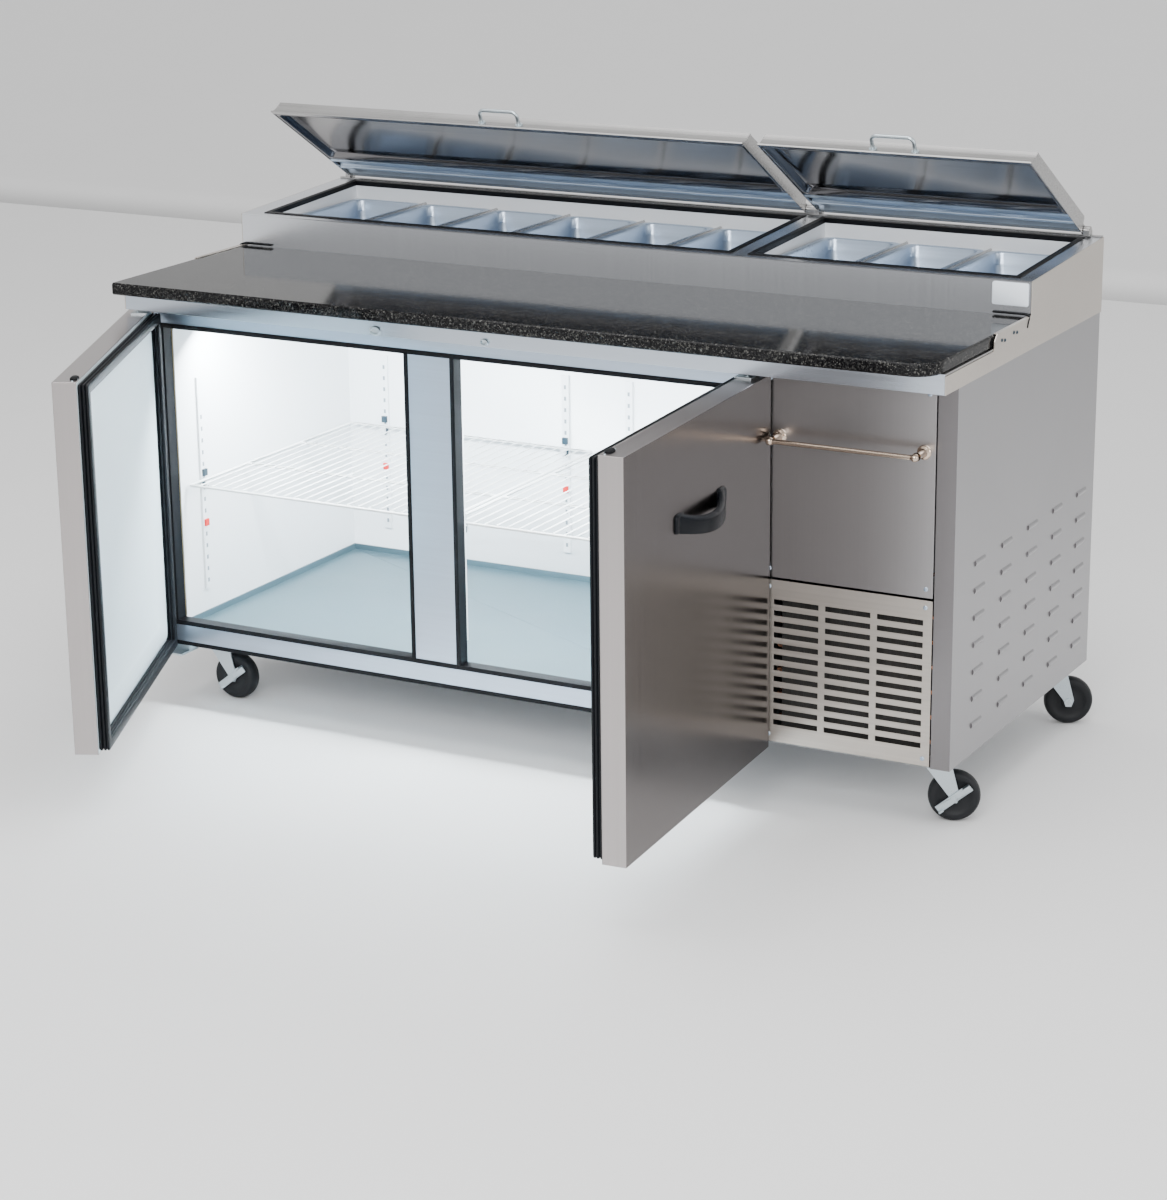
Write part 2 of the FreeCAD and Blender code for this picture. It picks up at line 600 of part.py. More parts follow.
def lid(side, left, right):
    """Folded cover with a sloped front, turned on eyes at its rear corners."""
    profile = [("-lid_heel", "-lid_under"), ("-lid_reach", "-lid_under"),
               ("-lid_top_reach", "lid_over"), ("-lid_heel", "lid_over")]
    inner = [("-lid_heel - 2", "-lid_under - 1"), ("-lid_reach + 1.8", "-lid_under - 1"),
             ("-lid_top_reach + 1", "lid_over - 2"), ("-lid_heel - 2", "lid_over - 2")]
    outer = prism("YZ", profile, f"-{left}", f"{left} - {right}")
    hollow = prism("YZ", inner, f"-{left} + 2", f"{left} - {right} - 4")
    shell = cut(outer, hollow)
    eyes, bores = [], []
    for x in (f"-{left}", f"-{right} - lug_thick"):
        eyes.append(rod("x", "lug_radius", "lug_thick", x))
        eyes.append(block((x, f"{x} + lug_thick"), ("-lid_heel - 1", "0"), ("-lug_radius + 1", "lug_radius")))
        bores.append(rod("x", "hinge_bore", "lug_thick + 2", f"{x} - 1"))
    on_lid(cut(fuse(shell, *eyes), *bores), f"lid_{side}_cover")
    on_lid(block((f"-{left} + 4.5", f"-{right} - 4.5"), ("-lid_reach + 10", "-lid_heel - 2.5"),
                 ("-lid_under + 4", "-lid_under + 6")), f"lid_{side}_liner")
    on_lid(wire_grip(f"(-({left} + {right}) / 2)"), f"lid_{side}_handle")


def wire_grip(centre):
    """U-shaped wire pull standing square to the lid's sloped front."""
    foot_y, foot_z = "-(lid_reach + lid_top_reach) / 2", "(lid_over - lid_under) / 2"
    out_y, out_z = "sin(lid_bevel * 1deg)", "cos(lid_bevel * 1deg)"
    tip_y, tip_z = f"{foot_y} - grip_rise * {out_y}", f"{foot_z} + grip_rise * {out_z}"
    solids = []
    for end in ("- grip_span / 2", "+ grip_span / 2"):
        leg = rod("z", "grip_radius", "grip_rise")
        leg.Placement = FreeCAD.Placement(Vector(), FreeCAD.Rotation(Vector(1, 0, 0), 10))
        leg.setExpression("Placement.Rotation.Angle", bound("lid_bevel"))
        solids.append(put(leg, f"{centre} {end}", foot_y, foot_z))
        elbow = drive(doc.addObject("Part::Sphere", "elbow"), Radius="grip_radius")
        solids.append(put(elbow, f"{centre} {end}", tip_y, tip_z))
    solids.append(rod("x", "grip_radius", "grip_span", f"{centre} - grip_span / 2", tip_y, tip_z))
    return fuse(*solids)


# ---------------------------------------------------------------- machine compartment

PANEL_X = ("-machine_edge + 3", "-pillar - 3")


def machine_front():
    on_cabinet(block(PANEL_X, ("0", "skin"), ("panel_split + 2", "seam_z - 4")), "machine_panel")
    grille = block(PANEL_X, ("0", "skin"), ("base_z + 3", "panel_split - 3"))
    slots = []
    for column in range(3):
        x = f"{PANEL_X[0]} + 24 + {column} * slot_column_pitch"
        for row in range(12):
            z = f"base_z + 38 + {row} * slot_pitch"
            slots.append(block((x, f"{x} + slot_length"), ("-1", "skin + 1"), (z, f"{z} + slot_height")))
    on_cabinet(cut(grille, *slots), "intake_grille")


def towel_bar():
    bar = rod("x", "bar_radius", "bar_left - bar_right - 16", "-bar_left + 8", "-bar_reach", "bar_z")
    posts = []
    for x in ("-bar_left", "-bar_right"):
        flange = rod("y", 14, 3, x, -3, "bar_z")
        stem = rod("y", 7, "bar_reach - 3", x, "-bar_reach", "bar_z")
        cap = drive(doc.addObject("Part::Sphere", "cap"), Radius=8)
        posts.append(fuse(flange, stem, put(cap, x, "-bar_reach", "bar_z")))
    on_cabinet(group(cut(bar, *[rod("x", 8, 0.5, x, "-bar_reach", "bar_z")
                                for x in ("-bar_left + 7.6", "-bar_right - 8.1")]), *posts), "towel_bar")


def condensing_unit():
    """Compressor, condenser coil with its shroud and fan motor, and the control box."""
    floor = "base_z + skin"
    x, y = -190, 480
    can = rod("z", 75, 145, x, y, f"{floor} + 13")
    dome = put(drive(doc.addObject("Part::Cone", "dome"), Radius1=75, Radius2=42, Height=36),
               x, y, f"{floor} + 158")
    foot = block((x - 95, x + 95), (y - 60, y + 60), (f"{floor} + 8", f"{floor} + 13"))
    grommets = [rod("z", 12, 8, x + dx, y + dy, floor) for dx in (-80, 80) for dy in (-45, 45)]
    on_cabinet(fuse(can, dome, foot, *grommets), "compressor")

    coil_x, coil_z = (-372, -69), (f"{floor}", 440)
    coil = block(coil_x, (40, 84), coil_z)
    plate = block(coil_x, (84, 86), coil_z)
    hole = rod("y", 105, 4, FAN_X, 83, FAN_Z)
    collar = cut(rod("y", 108, 34, FAN_X, 86, FAN_Z), rod("y", 105, 36, FAN_X, 85, FAN_Z))
    bridge = block((FAN_X - 106, FAN_X + 106), (118, 120), (FAN_Z - 9, FAN_Z + 9))
    motor = rod("y", 38, 62, FAN_X, 120, FAN_Z)
    shaft = rod("y", 4, 26, FAN_X, 94, FAN_Z)
    on_cabinet(group(coil, fuse(cut(plate, hole), collar, bridge, motor, shaft)), "condenser_unit")
    on_cabinet(fan(FAN_X, 95, FAN_Z, 97, 18), "condenser_fan")

    box = block((-399, -259), (30, 150), (560, 700))
    room = block((-397.5, -260.5), (31.5, 148.5), (558, 698.5))
    on_cabinet(cut(box, room), "control_box")


FAN_X, FAN_Z = -220, 296


def fan(x, y, z, radius, deep):
    """Five pitched blades on a hub that turns on a shaft along y."""
    hub = cut(rod("y", 22, deep, x, y, z), rod("y", 4.06, deep + 4, x, y - 2, z))
    blades = []
    for i in range(5):
        blade = doc.addObject("Part::Box", "blade")
        drive(blade, Length=radius - 19, Width=2, Height=0.27 * radius)
        lift = FreeCAD.Placement(Vector(19, deep / 2 - 1, -0.13 * radius),
                                 FreeCAD.Rotation(Vector(1, 0, 0), 22))
        turn = FreeCAD.Placement(Vector(x, y, z), FreeCAD.Rotation(Vector(0, 1, 0), 72 * i))
        blade.Placement = turn.multiply(lift)
        blades.append(blade)
    wheel = fuse(hub, *blades)
    wheel.Refine = False
    return wheel


def evaporator():
    """Coil housing in the upper right corner of the compartment, with its fan and thermostat."""
    x, y, z = (-645, -478), (470, 690), (640, "liner_high")
    sheet = 1.5
    top = f"{z[1]} - {sheet}"
    mouth = rod("y", 62, 4, EVAPORATOR_X, y[0] - 1, EVAPORATOR_Z)
    knob_bore = rod("y", 3.06, 4, KNOB_X, y[0] - 1, KNOB_Z)
    case = [block(x, y, (top, z[1])),
            cut(block(x, (y[0], y[0] + sheet), (z[0], top)), mouth, knob_bore),
            block(x, (y[1] - sheet, y[1]), (z[0], top))]
    case += [block(ends, (y[0] + sheet, y[1] - sheet), (z[0], top))
             for ends in ((x[0], x[0] + sheet), (x[1] - sheet, x[1]))]
    coil = block((x[0] + 8, x[1] - 8), (600, 680), (660, 820))
    motor = rod("y", 26, 44, EVAPORATOR_X, 512, EVAPORATOR_Z)
    shaft = rod("y", 4, 34, EVAPORATOR_X, 478, EVAPORATOR_Z)
    strap = block((x[0] + 1.5, x[1] - 1.5), (520, 524), (EVAPORATOR_Z - 8, EVAPORATOR_Z + 8))
    on_cabinet(group(*case, coil, fuse(motor, shaft, strap)), "evaporator")
    on_cabinet(fan(EVAPORATOR_X, 484, EVAPORATOR_Z, 56, 14), "evaporator_fan")
    dial = rod("y", 15, 16, KNOB_X, y[0] - 16.5, KNOB_Z)
    stem = rod("y", 3, 10, KNOB_X, y[0] - 1, KNOB_Z)
    pointer = block((KNOB_X - 2, KNOB_X + 2), (y[0] - 18.5, y[0] - 16.5), (KNOB_Z, KNOB_Z + 14))
    on_cabinet(fuse(dial, stem, pointer), "thermostat_knob")


EVAPORATOR_X, EVAPORATOR_Z = -578, 745
KNOB_X, KNOB_Z = -495, 670


# ---------------------------------------------------------------- casters

CORNERS = ("front_left", "front_right", "rear_left", "rear_right")


def caster_plates():
    """Top plates with the kingpins that the forks swivel on, and their corner bolts."""
    parts = []
    for corner in CORNERS:
        end, side = corner.split("_")
        x, y = f"-caster_{side}", f"caster_{end}"
        plate = block((f"{x} - 47", f"{x} + 47"), (f"{y} - 33", f"{y} + 33"), ("base_z - 4", "base_z"))
        kingpin = rod("z", "kingpin_radius", 20, x, y, "base_z - 24")
        bolts = [rod("z", 6, 4, f"{x} + {dx}", f"{y} + {dy}", "base_z - 8")
                 for dx in (-38, 38) for dy in (-24, 24)]
        parts.append(fuse(plate, kingpin, *bolts))
    on_cabinet(group(*parts), "caster_plates")


def caster(corner):
    """Fork with its swivel race and axle, and a wheel that turns between the fork's legs."""
    gap = "wheel_width / 2 + 2"
    race = rod("z", 27, 10, z="base_z - 15")
    crown = rod("z", 30, "fork_plate", z="base_z - 18")
    leg_outline = [("-24", "base_z - 18"), ("26", "base_z - 18"), ("trail + 11", "wheel_radius + 4"),
                   ("trail + 6", "wheel_radius - 10"), ("trail - 6", "wheel_radius - 10"),
                   ("trail - 11", "wheel_radius + 4")]
    near = prism("XZ", leg_outline, gap, "fork_plate")
    far = prism("XZ", leg_outline, f"-({gap}) - fork_plate", "fork_plate")
    bridge = block(("-24", "26"), (f"-({gap}) - fork_plate", f"{gap} + fork_plate"),
                   ("base_z - 18", "base_z - 15"))
    axle_length = f"2 * ({gap} + fork_plate + 3)"
    axle = rod("y", "axle_radius", axle_length, "trail", f"-({gap}) - fork_plate - 3", "wheel_radius")
    bore = rod("z", "kingpin_bore", 30, z="base_z - 30")
    on_caster(fuse(cut(fuse(race, crown, bridge, near, far), bore), axle), f"caster_{corner}_fork", corner)
    half, ease = "wheel_width / 2", "6"
    wheel = revolved([
        ("axle_bore", f"-{half} - 1.5"), ("axle_bore + 7", f"-{half} - 1.5"),
        ("axle_bore + 7", f"-{half}"), (f"wheel_radius - {ease}", f"-{half}"),
        ("wheel_radius", f"-{half} + {ease}"), ("wheel_radius", f"{half} - {ease}"),
        (f"wheel_radius - {ease}", half), ("axle_bore + 7", half),
        ("axle_bore + 7", f"{half} + 1.5"), ("axle_bore", f"{half} + 1.5")])
    on_caster(wheel, f"caster_{corner}_wheel", corner, "trail").setExpression(
        "Placement.Base.z", bound("wheel_radius"))


def brake_lever(corner):
    """Pedal plate on the outer leg of a front caster, turned on the axle's end."""
    outside = "-(wheel_width / 2 + 2) - fork_plate"
    plate = block(("-40", "40"), (f"{outside} - 3", f"{outside} - 0.5"), ("-8", "8"))
    pedal = block(("26", "40"), (f"{outside} - 16", f"{outside} - 3"), ("4", "8"))
    shoe = block(("-40", "-30"), (f"{outside} - 9", f"{outside} - 3"), ("-8", "-4"))
    bore = rod("y", "axle_bore", 30, 0, f"{outside} - 20", 0)
    lever = cut(fuse(plate, pedal, shoe), bore)
    tilted = doc.addObject("Part::Compound", "tilted")
    tilted.Links = [lever]
    lever.Placement = FreeCAD.Placement(Vector(), FreeCAD.Rotation(Vector(0, 1, 0), -38))
    on_caster(tilted, f"caster_{corner}_brake", corner, "trail").setExpression(
        "Placement.Base.z", bound("wheel_radius"))


# ---------------------------------------------------------------- assembly and export

side_panels()
back_and_base()
front_frame()
compartment()
shelf_standards()
on_cabinet(group(*[wire_shelf(*ends) for ends in SHELVES]), "wire_shelves")
hinge_brackets()
door("left", 1)
door("right", -1)
counter_frame()
worktop()
end_plates()
rail_shell()
rail_well()
food_pans()
lid_rail()
lid("left", "lid_left_left", "lid_left_right")
lid("right", "lid_right_left", "lid_right_right")
machine_front()
towel_bar()
condensing_unit()
evaporator()
caster_plates()
for corner in CORNERS:
    caster(corner)
brake_lever("front_left")
brake_lever("front_right")

doc.recompute()
broken = [o.Name for o in doc.Objects if "Invalid" in o.State or "Error" in o.State]
if broken:
    raise RuntimeError(f"these objects failed: {broken}")
for node in NODES:
    if node.Shape.isNull() or not node.Shape.isValid() or not node.Shape.Solids:
        raise RuntimeError(f"{node.Label} has no valid solid")

os.makedirs("parts", exist_ok=True)
low, high = Vector(1e9, 1e9, 1e9), Vector(-1e9, -1e9, -1e9)
for node in NODES:
    node.Shape.exportStep(f"parts/{node.Label}.step")
    box = node.Shape.BoundBox
    low = Vector(min(low.x, box.XMin), min(low.y, box.YMin), min(low.z, box.ZMin))
    high = Vector(max(high.x, box.XMax), max(high.y, box.YMax), max(high.z, box.ZMax))
print(f"{len(NODES)} nodes, from {tuple(low)} to {tuple(high)}")
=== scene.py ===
"""Looks of a refrigerated sandwich prep table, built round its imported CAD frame.

Lengths are in millimetres in a few local frames: the cabinet's (x = 0 at its right side,
y = 0 at its front face, z = 0 on the floor), each door's and lid's at its pivot, each
caster's at its kingpin. `piece` turns them into metres in the shared frame.
"""
import math

import bmesh
import bpy
from mathutils import Euler, Matrix, Vector


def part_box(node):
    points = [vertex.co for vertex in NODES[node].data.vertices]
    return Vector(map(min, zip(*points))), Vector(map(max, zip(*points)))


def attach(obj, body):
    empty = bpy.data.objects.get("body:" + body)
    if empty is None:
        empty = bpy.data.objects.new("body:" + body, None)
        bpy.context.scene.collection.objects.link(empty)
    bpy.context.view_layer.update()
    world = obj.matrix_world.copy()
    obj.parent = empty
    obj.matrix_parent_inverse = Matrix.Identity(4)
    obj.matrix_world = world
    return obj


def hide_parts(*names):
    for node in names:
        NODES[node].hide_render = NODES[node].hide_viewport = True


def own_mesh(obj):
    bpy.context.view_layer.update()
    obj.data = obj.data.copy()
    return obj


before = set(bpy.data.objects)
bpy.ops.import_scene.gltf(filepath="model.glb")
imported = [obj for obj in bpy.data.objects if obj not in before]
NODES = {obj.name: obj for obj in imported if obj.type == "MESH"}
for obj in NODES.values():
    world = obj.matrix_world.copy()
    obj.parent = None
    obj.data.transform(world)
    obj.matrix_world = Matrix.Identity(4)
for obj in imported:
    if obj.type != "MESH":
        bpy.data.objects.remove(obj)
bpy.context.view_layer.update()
MM = 0.001
CORNER = Vector((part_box("rail_end_plates")[1].x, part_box("side_panel_right")[0].y, 0))


# ------------------------------------------------------------------ dimensions, in mm

WIDTH, DEPTH = 1829, 765
BASE_Z, SEAM_Z = 130, 876                         # underside of the body, foot of the worktop frame
BAYS = ((-1787, -1196), (-1078.5, -472))          # the two door openings
OPENING_LOW, OPENING_HIGH, STRIP = 185, 827, 10   # their bottom and top, the black strip round them
APRON_Y = -72                                     # face of the apron below the worktop

DOOR_LENGTH, DOOR_LOW, DOOR_HIGH = 687, 122, 866  # pivot to free edge, bottom, top
DOOR_FACE, DOOR_BACK = -49, -2                    # front and back of the door's shell
BOW_CHORD, BOW_RISE, BOW_BAND = 222, 36, 13       # the door pull: length, stand-off, thickness
BOW_X, BOW_Z = 349, 690                           # its middle
BOW_DROP = 0.55                                   # droop for each millimetre that it stands off

LIDS = {"left": (-1791, -652), "right": (-619, -38)}    # their left and right ends
LID_HEEL, LID_TOP_REACH, LID_REACH = -14, -342, -366    # rear, front of the flat top, front rim
LID_UNDER, LID_OVER = -10, 24                     # underside and top
LID_SKIN = 1.6                                    # thickness of the lid's folded cover
LID_SWEEP = 1.9                                   # how sharply the lid's front turns down
LID_BEADS = LID_HEEL - 92                         # where its inner panel ends and its beads start
PULL_LEAN = 54.8                                  # lean of the lid's wire pull, in degrees

PAN_ROWS = ((-1770, -662, 6), (-602, -45, 3))     # left end, right end, how many pans
PAN_FRONT, PAN_REAR, PAN_RIM_Z = 392, 735, 989    # the opening they hang in
PAN_SIZE, PAN_DEPTH = (176, 325), 98
PAN_BACKSET = 4                                   # from the middle of the opening to theirs

SHELF_Z = 475
SMALL_SCREW, MIDDLE_SCREW, LARGE_SCREW = 2.6, 3.6, 4.5    # radii of their heads
PANEL_X = (-396, -45)                             # machine panel and grille, left and right edges
BAR_ENDS, BAR_Z, BAR_Y = (-362, -68), 747, -46    # towel bar

WHEEL_RADIUS, WHEEL_WIDTH, TRAIL = 51, 32, 30
CONDENSER_FAN = (-220, 124, 296)                  # middle of the fan's guard
EVAPORATOR_FAN = (-578, 468, 745)
SHEET_BACK = DEPTH - 1.5                          # face of the back panel


def local(x=0.0, y=0.0, z=0.0, axis="Z", degrees=0.0):
    """A frame in millimetres whose origin is measured from the cabinet's front right corner."""
    place = Matrix.Translation(CORNER + Vector((x, y, z)) * MM)
    return place @ Matrix.Rotation(math.radians(degrees), 4, axis) @ Matrix.Scale(MM, 4)


CABINET = local()
DOORS = {"left": (local(-1807, -10, 0, "Z", -65.5), 1), "right": (local(-427, -10, 0, "Z", 94), -1)}
LID = local(0, 752, 1042, "X", -31)
CASTERS = {"front_left": (-1724, 78, 0), "front_right": (-55, 78, 21),
           "rear_left": (-1724, 715, 21), "rear_right": (-55, 715, 24)}


# ------------------------------------------------------------------ mesh building

def loft(bm, rings, around=True, closed=False, caps=(True, True)):
    """Skins a row of rings that have the same number of points."""
    rows = [[bm.verts.new(p) for p in ring] for ring in rings]
    count = len(rows[0])
    pairs = list(zip(rows, rows[1:])) + ([(rows[-1], rows[0])] if closed else [])
    for near, far in pairs:
        for i in range(count if around else count - 1):
            j = (i + 1) % count
            bm.faces.new((near[i], near[j], far[j], far[i]))
    if around and not closed:
        for row, wanted in zip((rows[0], rows[-1]), caps):
            if wanted:
                bm.faces.new(row)


def box(bm, x, y, z):
    ring = [(x[0], y[0]), (x[1], y[0]), (x[1], y[1]), (x[0], y[1])]
    loft(bm, [[(u, v, h) for u, v in ring] for h in z])


AXES = {"x": lambda u, v, w: (w, u, v), "y": lambda u, v, w: (u, w, v), "z": lambda u, v, w: (u, v, w)}


def prism(bm, outline, axis, low, high):
    """Extrudes a closed (u, v) outline along an axis."""
    loft(bm, [[AXES[axis](u, v, w) for u, v in outline] for w in (low, high)])


def lathe(bm, profile, centre, axis="y", sides=32, caps=(True, True)):
    """Turns (radius, distance along the axis) points about an axis through centre."""
    rings = []
    for radius, along in profile:
        ring = []
        for i in range(sides):
            angle = math.tau * i / sides
            point = AXES[axis](radius * math.cos(angle), radius * math.sin(angle), along)
            ring.append(Vector(point) + Vector(centre))
        rings.append(ring)
    loft(bm, rings, caps=caps)


def tube(bm, path, radius, sides=12, closed=False):
    """Round wire or pipe along a path, with flat ends."""
    points = [Vector(p) for p in path]
    count = len(points)
    side, rings = None, []
    for i, point in enumerate(points):
        before = points[i - 1] if i or closed else point
        after = points[(i + 1) % count] if i < count - 1 or closed else point
        along = (after - before).normalized()
        side = along.orthogonal() if side is None else side
        side = (side - along * side.dot(along)).normalized()
        other = along.cross(side)
        rings.append([point + (side * math.cos(math.tau * k / sides)
                               + other * math.sin(math.tau * k / sides)) * radius for k in range(sides)])
    loft(bm, rings, closed=closed)


def arc(centre, radius, start, end, steps=6):
    """Points on a circle, from one angle in degrees to another."""
    turns = [math.radians(start + (end - start) * i / steps) for i in range(steps + 1)]
    return [(centre[0] + radius * math.cos(t), centre[1] + radius * math.sin(t)) for t in turns]


def rounded(x, y, radius, steps=5):
    """Rectangle outline with round corners."""
    (x0, x1), (y0, y1), r = x, y, radius
    return (arc((x1 - r, y1 - r), r, 0, 90, steps) + arc((x0 + r, y1 - r), r, 90, 180, steps)
            + arc((x0 + r, y0 + r), r, 180, 270, steps) + arc((x1 - r, y0 + r), r, 270, 360, steps))


def inset_rings(x, y, axis, steps, flip=1):
    """Rings of one rounded rectangle at several (inset, height, corner radius)."""
    rings = []
    for inset, height, radius in steps:
        outline = rounded((x[0] + inset, x[1] - inset), (y[0] + inset, y[1] - inset), radius)
        rings.append([AXES[axis](u * flip, v, height) for u, v in outline])
    return rings


def screw(bm, centre, radius, axis="y", way=-1):
    """Pan-head screw with a recess, its head towards `way` along the axis."""
    rise = radius * 0.55
    profile = [(radius, 0), (radius * 0.98, rise * 0.45), (radius * 0.72, rise * 0.9),
               (radius * 0.42, rise), (radius * 0.34, rise * 0.45), (0.01, rise * 0.4)]
    lathe(bm, [(r, h * way) for r, h in profile], centre, axis, 20)


def ease_edges(obj, bevel, angle):
    """Rounds every edge sharper than an angle in degrees by `bevel` millimetres."""
    edge = obj.modifiers.new("edges", "BEVEL")
    edge.width = bevel * MM
    edge.segments = 2
    edge.limit_method = "ANGLE"
    edge.angle_limit = math.radians(angle)


def piece(name, bm, place, body, look, slot, bevel=0.0, thick=0.0, angle=32, stands_for=()):
    """Finishes a mesh drawn in a local frame: smooth shading, bevel, body, material,
    and the CAD nodes that it is shown instead of. Its slot argument is not used."""
    bmesh.ops.recalc_face_normals(bm, faces=bm.faces)
    mesh = bpy.data.meshes.new(name)
    bm.to_mesh(mesh)
    bm.free()
    mesh.transform(place)
    mesh.materials.append(look)
    mesh.shade_smooth()
    mesh.set_sharp_from_angle(angle=math.radians(angle))
    obj = bpy.data.objects.new(name, mesh)
    bpy.context.scene.collection.objects.link(obj)
    if thick:
        shell = obj.modifiers.new("thickness", "SOLIDIFY")
        shell.thickness = thick * MM
        shell.offset = 0
    if bevel:
        ease_edges(obj, bevel, angle)
        obj.modifiers.new("normals", "WEIGHTED_NORMAL")
    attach(obj, body)
    if stands_for:
        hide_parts(*stands_for)
    return obj


def finish_node(name, look, bevel, second=None, takes_second=None):
    """Gives a CAD node its material, and a second one on some faces, and eases its edges
    by modifiers that leave its mesh alone."""
    node = NODES[name]
    node.data.materials.clear()
    node.data.materials.append(look)
    if second:
        node.data.materials.append(second)
    for polygon in node.data.polygons:
        polygon.material_index = int(bool(second) and takes_second(polygon))
    node.data.shade_smooth()
    weld = node.modifiers.new("weld", "WELD")
    weld.merge_threshold = 0.01 * MM
    if bevel:
        ease_edges(node, bevel, 35)
    node.modifiers.new("normals", "WEIGHTED_NORMAL")


# ------------------------------------------------------------------ materials

def shader_of(name):
    look = bpy.data.materials.new(name)
    look.use_nodes = True
    return look, look.node_tree.nodes, look.node_tree.links, look.node_tree.nodes["Principled BSDF"]


def ramp_of(nodes, stops, interpolation="LINEAR"):
    """Colour ramp through (place, colour) stops."""
    stops = list(stops)
    ramp = nodes.new("ShaderNodeValToRGB")
    ramp.color_ramp.interpolation = interpolation
    while len(ramp.color_ramp.elements) < len(stops):
        ramp.color_ramp.elements.new(0.5)
    for element, (place, colour) in zip(ramp.color_ramp.elements, stops):
        element.position = place
        element.color = (*colour, 1)
    return ramp


def noise_of(nodes, links, source, scale, detail, stretch=(1, 1, 1)):
    mapping = nodes.new("ShaderNodeMapping")
    mapping.inputs["Scale"].default_value = stretch
    links.new(source, mapping.inputs["Vector"])
    noise = nodes.new("ShaderNodeTexNoise")
    noise.inputs["Scale"].default_value = scale
    noise.inputs["Detail"].default_value = detail
    links.new(mapping.outputs["Vector"], noise.inputs["Vector"])
    return noise.outputs["Fac"]


def math_of(nodes, links, operation, first, second):
    node = nodes.new("ShaderNodeMath")
    node.operation = operation
    for socket, value in zip(node.inputs, (first, second)):
        if isinstance(value, (int, float)):
            socket.default_value = value
        else:
            links.new(value, socket)
    return node.outputs[0]


def cells_of(nodes, links, source, scale):
    """One random grey for each crystal."""
    crystal = nodes.new("ShaderNodeTexVoronoi")
    crystal.inputs["Scale"].default_value = scale
    links.new(source, crystal.inputs["Vector"])
    split = nodes.new("ShaderNodeSeparateColor")
    links.new(crystal.outputs["Color"], split.inputs[0])
    return split.outputs[0]


def mix_of(nodes, links, first, second, blend="MIX"):
    mixed = nodes.new("ShaderNodeMix")
    mixed.data_type = "RGBA"
    mixed.blend_type = blend
    links.new(first, mixed.inputs["A"])
    if isinstance(second, tuple):
        mixed.inputs["B"].default_value = (*second, 1)
    else:
        links.new(second, mixed.inputs["B"])
    return mixed


def roughen(nodes, links, shader, pattern, rough, span=(0.0, 1.0)):
    """Lets the roughness drift between two values as a pattern crosses its span."""
    drift = nodes.new("ShaderNodeMapRange")
    for socket, value in zip(("From Min", "From Max", "To Min", "To Max"), (*span, *rough)):
        drift.inputs[socket].default_value = value
    links.new(pattern, drift.inputs["Value"])
    links.new(drift.outputs["Result"], shader.inputs["Roughness"])


def emboss(nodes, links, shader, pattern, strength, depth):
    relief = nodes.new("ShaderNodeBump")
    relief.inputs["Strength"].default_value = strength
    relief.inputs["Distance"].default_value = depth
    links.new(pattern, relief.inputs["Height"])
    links.new(relief.outputs["Normal"], shader.inputs["Normal"])


EVEN, UPRIGHT, LENGTHWISE = (1, 1, 1), (5, 5, 0.03), (0.03, 5, 5)
CLOUD_SCALE, BRUSH_SCALE = 3, 60
FINE_SHARE, CLOUD_SHARE = 0.45, 0.55    # of the pattern that mixes two tones
CRYSTAL_SHARE = 0.9
TONE_SPAN = (0.3, 0.7)                  # the pattern's values at the dark and the light tone
WEAR_SPAN = (0.52, 0.62)                # pointiness where wear starts and where it is full


def material(name, colour, rough, tone=0.1, metallic=0.0, grain=EVEN, fine=400.0,
             bump=0.15, depth=0.0003, wear=0.15, specular=0.5, crystals=0.0):
    """Principled material: two tones mixed by fine grain and broad clouds, roughness that
    drifts, grain bump, and edges that are lighter where hands and trolleys rub them."""
    look, nodes, links, shader = shader_of(name)
    shader.inputs["Metallic"].default_value = metallic
    shader.inputs["Specular IOR Level"].default_value = specular
    where = nodes.new("ShaderNodeTexCoord").outputs["Object"]
    if crystals:
        cells = cells_of(nodes, links, where, crystals)
        fine_grain = math_of(nodes, links, "MULTIPLY", cells, CRYSTAL_SHARE)
    else:
        detail = 3 if grain == EVEN else 0.5
        fine_grain = noise_of(nodes, links, where, fine, detail, grain)
    clouds = noise_of(nodes, links, where, CLOUD_SCALE, 4)
    blend = math_of(nodes, links, "ADD", math_of(nodes, links, "MULTIPLY", fine_grain, FINE_SHARE),
                    math_of(nodes, links, "MULTIPLY", clouds, CLOUD_SHARE))
    dark = tuple(c * (1 - tone) for c in colour)
    light = tuple(min(1.0, c * (1 + tone)) for c in colour)
    tones = ramp_of(nodes, zip(TONE_SPAN, (dark, light)))
    links.new(blend, tones.inputs["Fac"])
    rubbed = ramp_of(nodes, zip(WEAR_SPAN, ((0, 0, 0), (wear, wear, wear))))
    links.new(nodes.new("ShaderNodeNewGeometry").outputs["Pointiness"], rubbed.inputs["Fac"])
    worn_colour = tuple(min(1.0, c * 1.5 + 0.05) for c in colour)
    worn = mix_of(nodes, links, tones.outputs["Color"], worn_colour)
    links.new(rubbed.outputs["Color"], worn.inputs["Factor"])
    links.new(worn.outputs["Result"], shader.inputs["Base Color"])
    roughen(nodes, links, shader, blend, rough, TONE_SPAN)
    emboss(nodes, links, shader, fine_grain, bump, depth)
    return look


